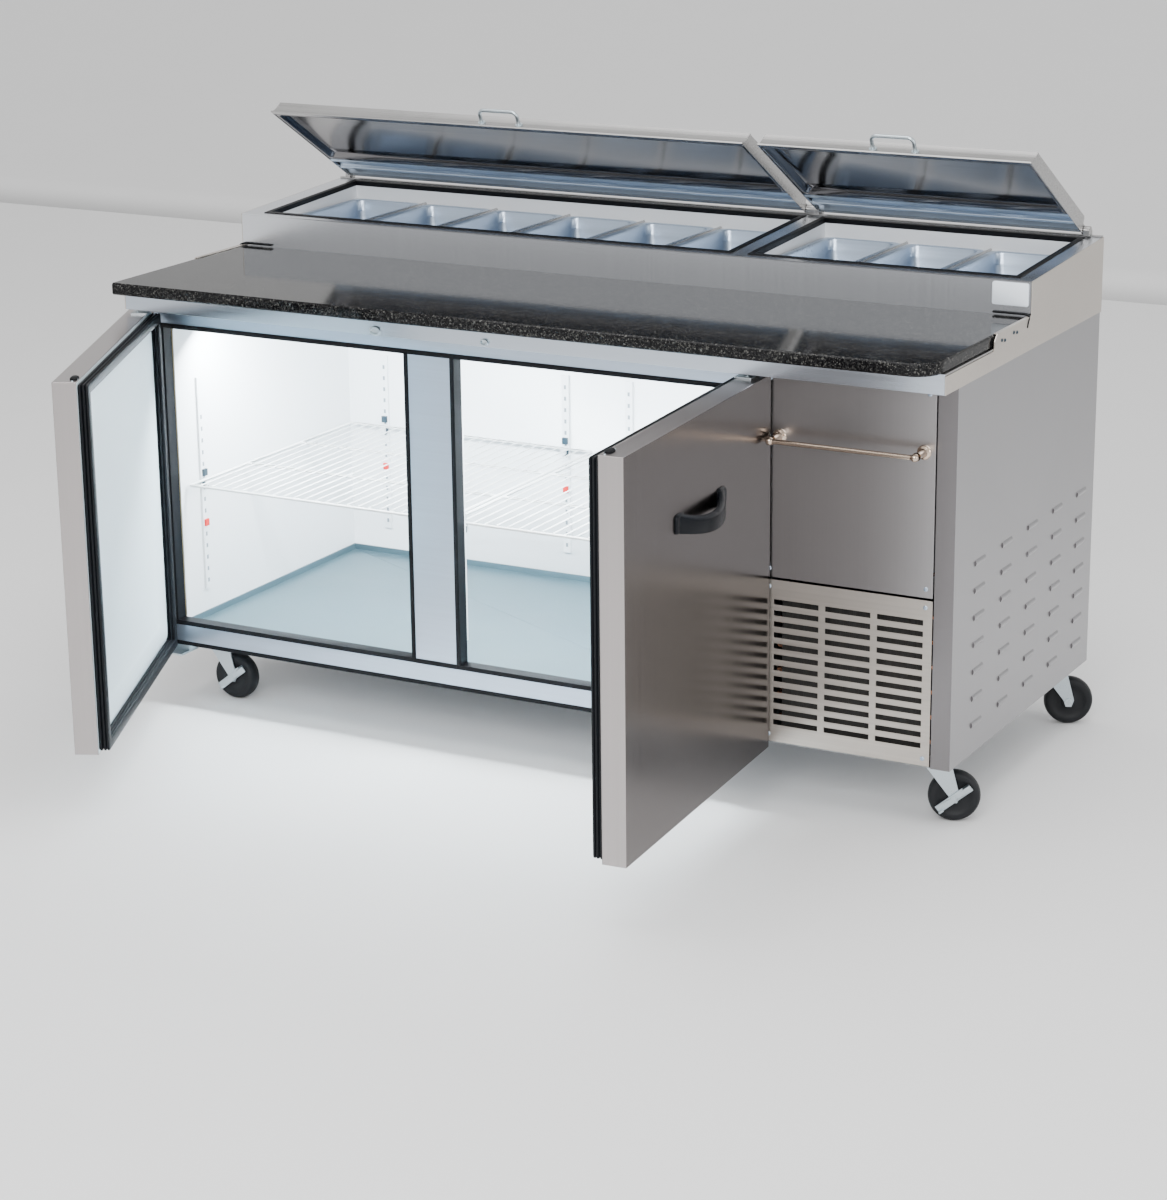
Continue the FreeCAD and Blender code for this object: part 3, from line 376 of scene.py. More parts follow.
def granite(name):
    """Polished near-black stone with grey and pale crystals of two sizes."""
    dark_crystals = ((0.0, (0.003, 0.003, 0.0035)), (0.6, (0.009, 0.009, 0.010)),
                     (0.82, (0.026, 0.026, 0.025)), (0.95, (0.075, 0.075, 0.07)))
    pale_flecks = ((0.0, (0.0, 0.0, 0.0)), (0.9, (0.03, 0.03, 0.031)), (0.97, (0.14, 0.135, 0.125)))
    look, nodes, links, shader = shader_of(name)
    shader.inputs["Specular IOR Level"].default_value = 0.15
    where = nodes.new("ShaderNodeTexCoord").outputs["Object"]
    layers = []
    for scale, stops in ((330, dark_crystals), (900, pale_flecks)):
        ramp = ramp_of(nodes, stops, "CONSTANT")
        links.new(cells_of(nodes, links, where, scale), ramp.inputs["Fac"])
        layers.append(ramp.outputs["Color"])
    stone = mix_of(nodes, links, *layers, "LIGHTEN")
    stone.inputs["Factor"].default_value = 1
    links.new(stone.outputs["Result"], shader.inputs["Base Color"])
    polish = noise_of(nodes, links, where, 60, 5)
    roughen(nodes, links, shader, polish, (0.06, 0.10))
    emboss(nodes, links, shader, polish, 0.004, 0.0002)
    return look


BRUSHED_METALS = {  # colour, roughness, tone spread, how metallic, grain, bump
    "steel_lengthwise": ((0.43, 0.425, 0.42), (0.22, 0.34), 0.08, 1.0, LENGTHWISE, 0.002),
    "steel_cool": ((0.48, 0.57, 0.69), (0.26, 0.38), 0.05, 0.9, LENGTHWISE, 0.002),
    "steel_mirror": ((0.18, 0.175, 0.18), (0.10, 0.16), 0.06, 1.0, LENGTHWISE, 0.002),
    # Steel tinted warm beige for the intake grille and the rail's end plates; the tint is painted
    # reflection of a warm floor.
    "steel_warm_painted_reflection": ((0.54, 0.50, 0.455), (0.34, 0.46), 0.08, 0.85, LENGTHWISE, 0.002),
    # Lighter, bluer copy of the worktop frame's steel for its front faces: painted reflection of the open
    # doors' pale inner panels and the floor.
    "apron_steel_painted_reflection": ((0.56, 0.62, 0.70), (0.16, 0.26), 0.04, 1.0, LENGTHWISE, 0.002),
    # Much darker copy of the doors' steel for their broad faces: painted shade and dark reflection; their
    # edges keep the usual tone.
    "door_face_steel_painted_shade": ((0.145, 0.13, 0.127), (0.18, 0.27), 0.05, 1.0, UPRIGHT, 0.002),
    "edge_steel": ((0.42, 0.39, 0.385), (0.28, 0.32), 0.04, 1.0, UPRIGHT, 0.0005),
    "panel_steel": ((0.40, 0.39, 0.395), (0.28, 0.30), 0.02, 1.0, UPRIGHT, 0.0005),
    # Darker copy of the side panels' steel for the right side panel's front faces: painted shade.
    "pillar_steel_painted_shade": ((0.21, 0.2, 0.205), (0.28, 0.3), 0.02, 1.0, UPRIGHT, 0.0005),
    "rail_steel": ((0.74, 0.765, 0.81), (0.25, 0.27), 0.02, 1.0, UPRIGHT, 0.0005),
    "side_steel": ((0.36, 0.355, 0.365), (0.29, 0.31), 0.02, 1.0, UPRIGHT, 0.0005),
}
OTHER_METALS = {    # colour, roughness, tone spread, how metallic, what else it needs
    "galvanised": ((0.46, 0.48, 0.50), (0.32, 0.5), 0.22, 0.9, {"crystals": 90, "bump": 0.1}),
    "zinc": ((0.55, 0.62, 0.66), (0.22, 0.38), 0.12, 1.0, {"fine": 900, "bump": 0.1}),
    # Near-black condenser fins: painted shade of the gaps between them, not the aluminium's own colour.
    "fin_aluminium_painted_shade": ((0.06, 0.058, 0.055), (0.5, 0.7), 0.4, 0.5,
                      {"grain": (900, 1, 1), "fine": 1, "bump": 0.8, "depth": 0.002}),
    "copper": ((0.66, 0.30, 0.17), (0.2, 0.38), 0.2, 1.0, {"fine": 300}),
    "warm_nickel": ((0.62, 0.50, 0.40), (0.12, 0.24), 0.1, 1.0, {"fine": 500, "bump": 0.05}),
    "floor_tray": ((0.075, 0.13, 0.155), (0.3, 0.45), 0.06, 0.2, {"fine": 500, "bump": 0.1, "wear": 0}),
}
COATINGS = {        # colour, roughness, tone spread, grain size, bump, wear at edges
    "white_coat": ((0.86, 0.88, 0.90), (0.28, 0.42), 0.03, 900, 0.12, 0),
    "pale_blue_coat": ((0.76, 0.88, 0.93), (0.3, 0.45), 0.04, 900, 0.12, 0),
    "white_wire": ((0.86, 0.87, 0.86), (0.3, 0.45), 0.04, 700, 0.1, 0.1),
    "black_paint": ((0.02, 0.02, 0.022), (0.25, 0.4), 0.3, 700, 0.2, 0.15),
    "label": ((0.84, 0.91, 1.0), (0.3, 0.4), 0.03, 600, 0.03, 0),
    "red_cap": ((0.62, 0.012, 0.012), (0.35, 0.5), 0.15, 900, 0.15, 0.05),
    "slot_shade": ((0.20, 0.24, 0.27), (0.5, 0.6), 0.2, 600, 0.15, 0),
    # Near-black plastic of the shelf clips; also used on the end plates' screws as painted shade on them.
    "clip_plastic_and_screw_shade": ((0.008, 0.028, 0.045), (0.3, 0.45), 0.3, 900, 0.15, 0.1),
}
DARK_PLASTICS = {   # colour, roughness, tone spread, grain size, bump, wear at edges, specular
    "black_plastic": ((0.006, 0.0065, 0.008), (0.42, 0.55), 0.3, 2500, 0.2, 0.01, 0.12),
    "dark_handle": ((0.003, 0.004, 0.006), (0.2, 0.32), 0.3, 1500, 0.1, 0.01, 0.14),
    "rubber": ((0.004, 0.005, 0.007), (0.42, 0.55), 0.4, 1800, 0.3, 0.01, 0.2),
    "tyre": ((0.010, 0.011, 0.013), (0.4, 0.6), 0.4, 1200, 0.25, 0.02, 0.25),
}
LOOKS = {
    "granite": granite("granite"),
    "foam": material("foam", (0.72, 0.62, 0.38), (0.8, 0.95), 0.15, fine=500, bump=0.6, depth=0.001),
}
for name, (*settings, grain, bump) in BRUSHED_METALS.items():
    LOOKS[name] = material(name, *settings, grain=grain, fine=BRUSH_SCALE, bump=bump)
for name, (*settings, more) in OTHER_METALS.items():
    LOOKS[name] = material(name, *settings, **more)
for name, (*settings, fine, bump, wear) in COATINGS.items():
    LOOKS[name] = material(name, *settings, fine=fine, bump=bump, wear=wear)
for name, (*settings, fine, bump, wear, specular) in DARK_PLASTICS.items():
    LOOKS[name] = material(name, *settings, fine=fine, bump=bump, wear=wear, specular=specular)


def add(name, bm, place, body, look, slot, **more):
    return piece(name, bm, place, body, LOOKS[look], slot, **more)


# ------------------------------------------------------------------ carried-over CAD nodes

NODE_LOOKS = {
    "side_panel_right": "side_steel", "side_panel_left": "side_steel",
    "back_panel": "galvanised", "base_pan": "galvanised", "cord_gland": "black_plastic",
    "front_frame": "steel_cool", "breaker_strips": "black_plastic", "interior_liner": "white_coat",
    "insulation": "foam", "liner_floor": "floor_tray", "shelf_standards": "white_coat",
    "wire_shelves": "white_wire", "door_hinge_brackets": "zinc", "counter_frame": "steel_lengthwise",
    # The rail end plates and the intake grille take the warm-tinted steel, its tint painted reflection.
    "worktop": "granite", "rail_end_plates": "steel_warm_painted_reflection", "rail_shell": "rail_steel",
    "rail_trim": "black_plastic", "rail_well": "white_coat", "lid_hinge_rail": "steel_lengthwise",
    "machine_panel": "panel_steel", "intake_grille": "steel_warm_painted_reflection",
    # The condenser takes the near-black fin colour, painted shade.
    "compressor": "black_paint", "condenser_unit": "fin_aluminium_painted_shade", "condenser_fan": "black_plastic",
    "control_box": "galvanised", "evaporator": "white_coat", "evaporator_fan": "black_plastic",
    "thermostat_knob": "black_plastic", "caster_plates": "zinc",
}
for side in DOORS:
    NODE_LOOKS |= {f"door_{side}_shell": "edge_steel", f"door_{side}_core": "foam",
                   f"door_{side}_hinge_leaves": "zinc"}
for corner in CASTERS:
    NODE_LOOKS[f"caster_{corner}_fork"] = "zinc"
for corner in ("front_left", "front_right"):
    NODE_LOOKS[f"caster_{corner}_brake"] = "zinc"
EASING = {"worktop": 2.0, "wire_shelves": 0.0, "condenser_fan": 0.0, "evaporator_fan": 0.0,
          "door_left_shell": 1.6, "door_right_shell": 1.6, "interior_liner": 0.8}
USUAL_EASING = 0.6
BROAD_FACE = 0.05    # square metres: more than a door's edge, less than its front


def is_broad(face):
    return face.area > BROAD_FACE


def faces_front(face):
    return face.normal.y < -0.9


def faces_right(face):
    return face.normal.x > 0.9


SECOND_LOOKS = {
    # The door shells' broad faces take the darker copy of their steel, painted shade.
    "door_left_shell": ("door_face_steel_painted_shade", is_broad), "door_right_shell": ("door_face_steel_painted_shade", is_broad),
    # The right side panel's front faces take a darker copy of its steel, painted shade.
    "side_panel_right": ("pillar_steel_painted_shade", faces_front), "insulation": ("galvanised", faces_right),
    # The apron takes a lighter, bluer copy of the frame's steel, painted reflection.
    "counter_frame": ("apron_steel_painted_reflection", faces_front),
}
for name, look in NODE_LOOKS.items():
    second, takes_second = SECOND_LOOKS.get(name, (None, None))
    finish_node(name, LOOKS[look], EASING.get(name, USUAL_EASING), second and LOOKS[second], takes_second)


# ------------------------------------------------------------------ doors

def door_inner_panel(side, place, hand, x, z):
    bm = bmesh.new()
    loft(bm, inset_rings(x, z, "y", (
        (1.6, -3.2, 3), (1.6, -1.8, 3), (27, -1.8, 8), (29, -0.5, 10), (34, 3.6, 14), (38, 4.6, 16),
        (76, 4.6, 20), (80, 3.4, 22), (86, 1.6, 24)), hand), caps=(False, True))
    add(f"door_{side}_inner_panel", bm, place, f"door_{side}", "pale_blue_coat", "white_liner",
        stands_for=(f"door_{side}_liner",))


def door_gasket(side, place, hand, x, z):
    """Folded magnetic gasket, drawn at its full height; it is not squashed as the door shuts."""
    bm = bmesh.new()
    loft(bm, inset_rings(x, z, "y", (
        (8, -1.9, 5), (6, 1.4, 5), (6, 4.0, 5), (9.5, 6.0, 5), (6.4, 8.4, 5), (6, 11.4, 5),
        (9, 13.2, 5), (6.4, 15.2, 5), (6.6, 18.2, 5), (8.4, 19.4, 5), (24, 19.4, 3), (26, 18.2, 3),
        (26, 15.2, 3), (23.4, 13.2, 3), (26, 11.4, 3), (25.6, 8.4, 3), (22.5, 6.0, 3), (26, 4.0, 3),
        (26, 1.4, 3), (24, -1.9, 3)), hand), closed=True)
    gasket = add(f"door_{side}_magnet_gasket", bm, place, f"door_{side}", "rubber", "gasket_rubber",
                 stands_for=(f"door_{side}_gasket",))
    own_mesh(gasket)


def door_bow_pull(side, place, hand):
    """Bow that widens and thickens towards its two feet."""
    radius = BOW_CHORD * BOW_CHORD / (8 * BOW_RISE) + BOW_RISE / 2
    spread = math.degrees(math.asin(BOW_CHORD / 2 / radius))
    steps = 28
    rings = []
    for i in range(steps + 1):
        t = 2 * i / steps - 1
        angle = math.radians(-90 + spread * t)
        swell = abs(t) ** 4
        half = 14 + 4 * swell
        inner = radius - BOW_BAND - 6 * swell
        ring = []
        for u, v in rounded((inner, radius - 0.3), (-half, half), 3.4, 3):
            x = BOW_X + u * math.cos(angle)
            y = min(DOOR_FACE + 0.6, DOOR_FACE + radius - BOW_RISE + u * math.sin(angle))
            ring.append((x * hand, y, BOW_Z + v + BOW_DROP * (y - DOOR_FACE)))
        rings.append(ring)
    bm = bmesh.new()
    loft(bm, rings)
    for end in (-1, 1):
        foot = BOW_X + end * (BOW_CHORD / 2 - 12)
        loft(bm, inset_rings((foot - 19, foot + 19), (BOW_Z - 18, BOW_Z + 18), "y", (
            (0, DOOR_FACE + 0.4, 9), (0, DOOR_FACE - 2.4, 9), (3, DOOR_FACE - 5.0, 8)), hand))
    add(f"door_{side}_bow_pull", bm, place, f"door_{side}", "dark_handle", "black_plastic",
        stands_for=(f"door_{side}_handle",))


def door_screws(side, place, hand):
    """Two in each hinge leaf, and one on each side of the catch plate."""
    bm = bmesh.new()
    for z, way in ((DOOR_HIGH + 3.5, 1), (DOOR_LOW - 3.5, -1)):
        for x in (22, 46):
            screw(bm, (x * hand, -20, z), MIDDLE_SCREW, "z", way)
    for x in (DOOR_LENGTH - 50, DOOR_LENGTH - 8):
        screw(bm, (x * hand, -11, DOOR_HIGH), SMALL_SCREW, "z", 1)
    add(f"door_{side}_screws", bm, place, f"door_{side}", "zinc", "zinc_plate")


def door_catch_plate(side, place, hand):
    bm = bmesh.new()
    loft(bm, inset_rings((DOOR_LENGTH - 42, DOOR_LENGTH - 16), (-19, -3), "z", (
        (0, DOOR_HIGH - 0.4, 7.5), (0, DOOR_HIGH + 2.4, 7.5), (1.4, DOOR_HIGH + 4.4, 6.5),
        (4, DOOR_HIGH + 5.6, 4)), hand))
    add(f"door_{side}_catch_plate", bm, place, f"door_{side}", "black_plastic", "black_plastic")


DOOR_EDGES = ((-1, DOOR_LENGTH), (DOOR_LOW, DOOR_HIGH))
for side, (place, hand) in DOORS.items():
    door_inner_panel(side, place, hand, *DOOR_EDGES)
    door_gasket(side, place, hand, *DOOR_EDGES)
    door_bow_pull(side, place, hand)
    door_screws(side, place, hand)
    door_catch_plate(side, place, hand)


# ------------------------------------------------------------------ lids

LID_DROP = LID_OVER - LID_UNDER - 4


def lid_front(t):
    """Point on the curve down the lid's front, from the flat top (t = 0) to the rim (t = 1)."""
    return (LID_TOP_REACH + (LID_REACH - LID_TOP_REACH) * t,
            LID_OVER - LID_DROP * (1 - (1 - t) ** LID_SWEEP))


def lid_shell(side, left, right):
    """Folded cover with two closed ends and the eyes that turn on the hinge pins."""
    steps = 9
    sweep = [lid_front(i / steps) for i in range(steps + 1)]
    outer = ([(LID_HEEL, LID_UNDER), (LID_HEEL, LID_OVER - 5)]
             + arc((LID_HEEL - 5, LID_OVER - 5), 5, 0, 90)
             + [(LID_TOP_REACH + 9, LID_OVER - 1.4)] + sweep + [(LID_REACH, LID_UNDER + 0.5)])
    inner = [(y + LID_SKIN, z - LID_SKIN) for y, z in reversed(sweep)]
    folded = (outer + [(LID_REACH + 9, LID_UNDER), (LID_REACH + 9, LID_UNDER + 1.6),
                       (LID_REACH + 2, LID_UNDER + 2.6)]
              + inner[1:]
              + [(LID_TOP_REACH + 9, LID_OVER - 3.0), (LID_HEEL - 5, LID_OVER - 1.8),
                 (LID_HEEL - 1.8, LID_OVER - 6), (LID_HEEL - 1.8, LID_UNDER)])
    end = 1.5
    bm = bmesh.new()
    prism(bm, folded, "x", left + end, right - end)
    for low, high in ((left, left + end), (right - end, right)):
        prism(bm, outer, "x", low, high)
    bore, eye = 4.1, 9
    for low, high in ((left, left + 4), (right - 4, right)):
        box(bm, (low, high), (LID_HEEL - 1, -2), (-8, 9))
        lathe(bm, ((bore, low), (eye, low), (eye, high), (bore, high)), (0, 0, 0), "x", 28, (False, False))
        lathe(bm, ((bore, low), (bore, high)), (0, 0, 0), "x", 28, (False, False))
    add(f"lid_{side}_shell", bm, LID, f"lid_{side}", "steel_lengthwise", "brushed_steel", bevel=0.4,
        stands_for=(f"lid_{side}_cover",))


def lid_inner_panel(side, left, right):
    """Pressed mirror-bright panel under the lid."""
    bm = bmesh.new()
    rim = LID_UNDER + 1.2
    loft(bm, inset_rings((left, right), (LID_REACH + 9, LID_BEADS), "z", (
        (0, rim, 3), (6, rim, 8), (8.5, LID_UNDER + 3, 9), (12, LID_UNDER + 11, 10),
        (14.5, LID_UNDER + 14, 11), (20, LID_UNDER + 15.5, 14))), caps=(False, True))
    add(f"lid_{side}_inner_panel", bm, LID, f"lid_{side}", "steel_mirror", "brushed_steel", thick=0.8,
        stands_for=(f"lid_{side}_liner",))


def lid_rear_beads(side, left, right):
    """Strip with two rolled beads between the inner panel and the hinge."""
    low, rim = LID_UNDER + 5.2, LID_UNDER + 1.2
    section = ([(LID_BEADS, low + 2), (LID_BEADS, rim), (LID_BEADS + 1.4, rim)]
               + arc((LID_HEEL - 84, low), 6, 180, 360, 8)
               + [(LID_HEEL - 74, low + 3), (LID_HEEL - 50, low + 5), (LID_HEEL - 46, low)]
               + arc((LID_HEEL - 40, low), 4, 180, 360, 8)
               + [(LID_HEEL - 33, low + 4), (LID_HEEL - 14, low + 3), (LID_HEEL - 2, low),
                  (LID_HEEL - 2, low + 6)])
    bm = bmesh.new()
    prism(bm, section, "x", left, right)
    add(f"lid_{side}_rear_beads", bm, LID, f"lid_{side}", "steel_cool", "brushed_steel")


def lid_wire_pull(side, left, right):
    half, reach, bend, wire = 45, 32, 12, 4
    lean = math.radians(PULL_LEAN)
    out = Vector((0, -math.sin(lean), math.cos(lean)))
    foot = Vector(((left + right) / 2, *lid_front(0.5)))

    def leaning(u, v):
        """A point across and out along the pull, as a point of the lid."""
        return foot + Vector((u, 0, 0)) + out * v

    flat = ([(-half, 0)] + arc((bend - half, reach - bend), bend, 180, 90)
            + arc((half - bend, reach - bend), bend, 90, 0) + [(half, 0)])
    bm = bmesh.new()
    tube(bm, [leaning(u, v) for u, v in flat], wire)
    for u in (-half, half):
        tube(bm, [leaning(u, v) for v in (-1, 3.4)], 2 * wire, 20)
    add(f"lid_{side}_wire_pull", bm, LID, f"lid_{side}", "zinc", "brushed_steel", bevel=0.3,
        stands_for=(f"lid_{side}_handle",))


INNER_GAP = 2.2    # between a lid's end and what is under it
for side, (left, right) in LIDS.items():
    lid_shell(side, left, right)
    lid_inner_panel(side, left + INNER_GAP, right - INNER_GAP)
    lid_rear_beads(side, left + INNER_GAP, right - INNER_GAP)
    lid_wire_pull(side, left, right)


# ------------------------------------------------------------------ pans and rail

def pan(bm, x, y, z):
    """One food pan: rolled rim, step below it, tapered sides, round-cornered floor."""
    loft(bm, inset_rings(x, y, "z", (
        (0.8, z - 0.4, 24), (0.4, z + 0.6, 24), (1.4, z + 1.4, 24), (9.5, z + 1.4, 20),
        (12, z + 0.3, 19), (13.4, z - 3, 18), (13.8, z - 22, 18), (16.2, z - 25, 17),
        (21, z - 90, 22), (24, z - 95.5, 22), (30, z - PAN_DEPTH, 22))), caps=(False, True))


def adapter_bar(bm, x, z):
    """Half-round bar between two pans."""
    prism(bm, [(x - 3.6, z + 0.2)] + arc((x, z + 1.4), 3.0, 180, 0) + [(x + 3.6, z + 0.2)],
          "y", PAN_FRONT + 2, PAN_REAR - 2)


pan_set, bars = bmesh.new(), bmesh.new()
pan_half, pan_reach = PAN_SIZE[0] / 2, PAN_SIZE[1] / 2
middle_y = (PAN_FRONT + PAN_REAR) / 2 + PAN_BACKSET
for left, right, count in PAN_ROWS:
    pitch = (right - left) / count
    for i in range(count):
        centre = left + pitch * (i + 0.5)
        pan(pan_set, (centre - pan_half, centre + pan_half), (middle_y - pan_reach, middle_y + pan_reach),
            PAN_RIM_Z)
        if i:
            adapter_bar(bars, left + pitch * i, PAN_RIM_Z)
add("food_pan_set", pan_set, CABINET, "cabinet", "steel_cool", "brushed_steel", thick=0.8, angle=40,
    stands_for=("food_pans",))
add("pan_adapter_bars", bars, CABINET, "cabinet", "steel_lengthwise", "brushed_steel")

bm = bmesh.new()
loft(bm, inset_rings((-81, -7), (-50, -5), "y", ((0, 3.6, 4), (0, 2.2, 4), (0.8, 1.6, 4))))
add("blank_label", bm, local(0, 356, 1009), "cabinet", "label", "white_wire")

# The end plates' screws are coloured near black: painted shade on zinc screws sitting in recesses.
bm = bmesh.new()
for y, z in ((204, 925), (220, 922), (266, 928), (283, 925)):
    screw(bm, (0, y, z), MIDDLE_SCREW, "x", 1)
    screw(bm, (-WIDTH, y, z), MIDDLE_SCREW, "x", -1)
add("end_plate_screws", bm, CABINET, "cabinet", "clip_plastic_and_screw_shade", "black_plastic")

# Black round line at each end of the rail, where the rail front meets the end plate: painted shadow of the
# gap there.
SHADOW_GAP_LINE = ((78, 356.5, 945), (16, 356.5, 945), (7, 355.5, 944.4), (2, 352, 942.6), (0.4, 346, 938),
          (0.4, 341, 931), (0.4, 338, 923))    # distance in from the end, y, z
bm = bmesh.new()
for end, way in ((0, 1), (-WIDTH, -1)):
    tube(bm, [(end - inward * way, y, z) for inward, y, z in SHADOW_GAP_LINE], 2.2)
add("end_plate_shadow_gap_line", bm, CABINET, "cabinet", "black_plastic", "black_plastic")


# ------------------------------------------------------------------ front of the cabinet

BUTTON_Z, BUTTON_SQUASH = 886, 0.7
BUTTON = ((14, 0), (14, -2.4), (12.4, -5), (9.4, -5), (7.4, -1.8), (0.01, -1.2))
bm = bmesh.new()
for x, size in ((-1214, 1), (-963, 0.7)):
    lathe(bm, [(radius * size, y) for radius, y in BUTTON], (x, APRON_Y - 0.1, BUTTON_Z))
for vertex in bm.verts:
    vertex.co.z = BUTTON_Z + (vertex.co.z - BUTTON_Z) * BUTTON_SQUASH
add("apron_buttons", bm, CABINET, "cabinet", "zinc", "zinc_plate")

mullion_x = (BAYS[0][1] + STRIP, BAYS[1][0] - STRIP)
bm = bmesh.new()
for z in (OPENING_LOW - STRIP, OPENING_HIGH):
    box(bm, mullion_x, (-1, 0.2), (z, z + STRIP))
# Dark band over the lowest 9 mm of the sill, from the left side to the machine panel.
box(bm, (3 - WIDTH, PANEL_X[0] - 4), (-0.7, 0.2), (BASE_Z, BASE_Z + 9))
add("frame_edge_strips", bm, CABINET, "cabinet", "black_plastic", "black_plastic")

bm = bmesh.new()
for x in (PANEL_X[0] + 14, PANEL_X[1] - 14):
    for z in (484, 858, 148, 448):
        screw(bm, (x, 0, z), LARGE_SCREW)
add("front_panel_screws", bm, CABINET, "cabinet", "steel_cool", "brushed_steel")

BAR_POST = ((14, -0.2), (14, -2), (12.5, -4), (8.5, -5.2), (6.4, -9), (6, -30), (7, -36), (8.4, -38))
bar_ball = [(8 * math.sin(math.radians(a)), -8 * math.cos(math.radians(a))) for a in range(4, 177, 12)]
bm = bmesh.new()
for x in BAR_ENDS:
    lathe(bm, BAR_POST, (x, 0, BAR_Z), "y", 36, (True, False))
    lathe(bm, bar_ball, (x, BAR_Y, BAR_Z), "x", 28)
tube(bm, [(x, BAR_Y, BAR_Z) for x in (BAR_ENDS[0] + 7, BAR_ENDS[1] - 7)], 5, 24)
add("towel_rod", bm, CABINET, "cabinet", "warm_nickel", "polished_bar", stands_for=("towel_bar",))


# ------------------------------------------------------------------ interior

STANDARDS = ([(-1778, 105, "x", 1), (-481, 105, "x", -1)]
             + [(x, 34, "y", 1) for x in (-1172, -1088)]
             + [(x, 692, "y", -1) for x in (-1685, -1210, -1050, -575)])    # place, axis and way it faces
SLOTS, SLOT_LOW, SLOT_PITCH = 15, 244, 26


def on_standard(bm, standard, half, z, height, proud):
    """A low block on the face of a shelf standard."""
    x, y, axis, way = standard
    face, middle = (x, y) if axis == "x" else (y, x)
    out, across = sorted((face, face + proud * way)), (middle - half, middle + half)
    box(bm, *((out, across) if axis == "x" else (across, out)), (z, z + height))


caps, slots, hooks = bmesh.new(), bmesh.new(), bmesh.new()
for standard in STANDARDS:
    for i in range(SLOTS):
        on_standard(slots, standard, half=2.6, z=SLOT_LOW + SLOT_PITCH * i, height=9, proud=0.4)
    on_standard(caps, standard, half=6.5, z=SHELF_Z - 104, height=15, proud=5)
    on_standard(hooks, standard, half=8, z=SHELF_Z - 17, height=13.5, proud=6.5)
    on_standard(hooks, standard, half=6.5, z=SHELF_Z + 8, height=15, proud=6.5)
add("shelf_markers", caps, CABINET, "cabinet", "red_cap", "white_liner", bevel=0.8)
add("standard_slots", slots, CABINET, "cabinet", "slot_shade", "white_liner")
add("shelf_clips", hooks, CABINET, "cabinet", "clip_plastic_and_screw_shade", "black_plastic", bevel=0.8)


def guard_rings(bm, centre, radii, wire):
    """Concentric wire rings in front of a fan that faces the front."""
    x, y, z = centre
    for radius in radii:
        tube(bm, [(x + u, y, z + v) for u, v in arc((0, 0), radius, 0, 350, 35)], wire, 8, closed=True)


x, y, z = EVAPORATOR_FAN
bm = bmesh.new()
guard_rings(bm, (x, y - 1.5, z), (14, 26, 38, 50, 61), 1.1)
for i in range(4):
    angle = math.radians(45 * i + 22)
    u, v = 62 * math.cos(angle), 62 * math.sin(angle)
    tube(bm, [(x - u, y, z - v), (x, y - 1.2, z), (x + u, y, z + v)], 1.3, 8)
add("evaporator_fan_guard", bm, CABINET, "cabinet", "white_wire", "white_wire")


# ------------------------------------------------------------------ machine compartment

def return_bend(x, z, way):
    """Copper bend that joins a front and a rear tube of the condenser outside its end plate."""
    straight, bulge, rise, middle = 9, 6, 12, 62
    turn = [(x + way * (straight + bulge * math.cos(math.radians(a))),
             middle + rise * math.sin(math.radians(a)), z) for a in range(-75, 76, 15)]
    return ([(x, middle - rise, z), (x + straight * way, middle - rise, z)] + turn
            + [(x + straight * way, middle + rise, z), (x, middle + rise, z)])


bm = bmesh.new()
for row in range(6):
    for x, way in ((-69, 1), (-372, -1)):
        tube(bm, return_bend(x, 165 + 50 * row, way), 4.2, 10)
discharge = [(-190, 480, 322), (-190, 480, 350), (-196, 474, 366), (-212, 450, 376), (-300, 300, 380),
             (-372, 180, 384), (-388, 140, 380), (-390, 110, 360), (-385, 74, 340)]
suction = [(-240, 430, 290), (-268, 418, 292), (-300, 430, 300), (-330, 470, 320), (-345, 560, 330),
           (-352, 640, 330)]
tube(bm, discharge, 4, 12)
tube(bm, suction, 5.5, 12)
add("refrigerant_lines", bm, CABINET, "cabinet", "copper", "coil_aluminium")

bm = bmesh.new()
lathe(bm, ((5, 0), (11, 8), (13, 20), (13, 90), (11, 102), (5, 110)), (-320, 250, 180), "z")
add("filter_drier", bm, CABINET, "cabinet", "black_paint", "black_paint")

bm = bmesh.new()
guard_rings(bm, CONDENSER_FAN, (30, 52, 74, 96, 107), 1.4)
add("condenser_fan_guard", bm, CABINET, "cabinet", "zinc", "zinc_plate")


# ------------------------------------------------------------------ back

bm = bmesh.new()
for row in range(9):
    z = 430 + 30 * row
    hood = [(SHEET_BACK, z), (SHEET_BACK + 1.3, z), (SHEET_BACK + 1.4, z + 3), (SHEET_BACK + 0.7, z + 12),
            (SHEET_BACK, z + 14)]
    for centre in (-310, -200, -90):
        prism(bm, hood, "x", centre - 40, centre + 40)
add("back_vents", bm, CABINET, "cabinet", "galvanised", "galvanised_steel", bevel=0.3)

bm = bmesh.new()
for i in range(10):
    for z in (BASE_Z + 14, SEAM_Z - 12):
        screw(bm, (-40 - 195 * i, SHEET_BACK, z), SMALL_SCREW, "y", 1)
add("back_screws", bm, CABINET, "cabinet", "zinc", "zinc_plate")

bm = bmesh.new()
loft(bm, inset_rings((-520, -420), (560, 620), "y", (
    (0, SHEET_BACK - 0.1, 5), (0, SHEET_BACK + 0.6, 5), (1, SHEET_BACK + 1, 5))))
add("blank_rating_plate", bm, CABINET, "cabinet", "label", "white_wire")


# ------------------------------------------------------------------ casters

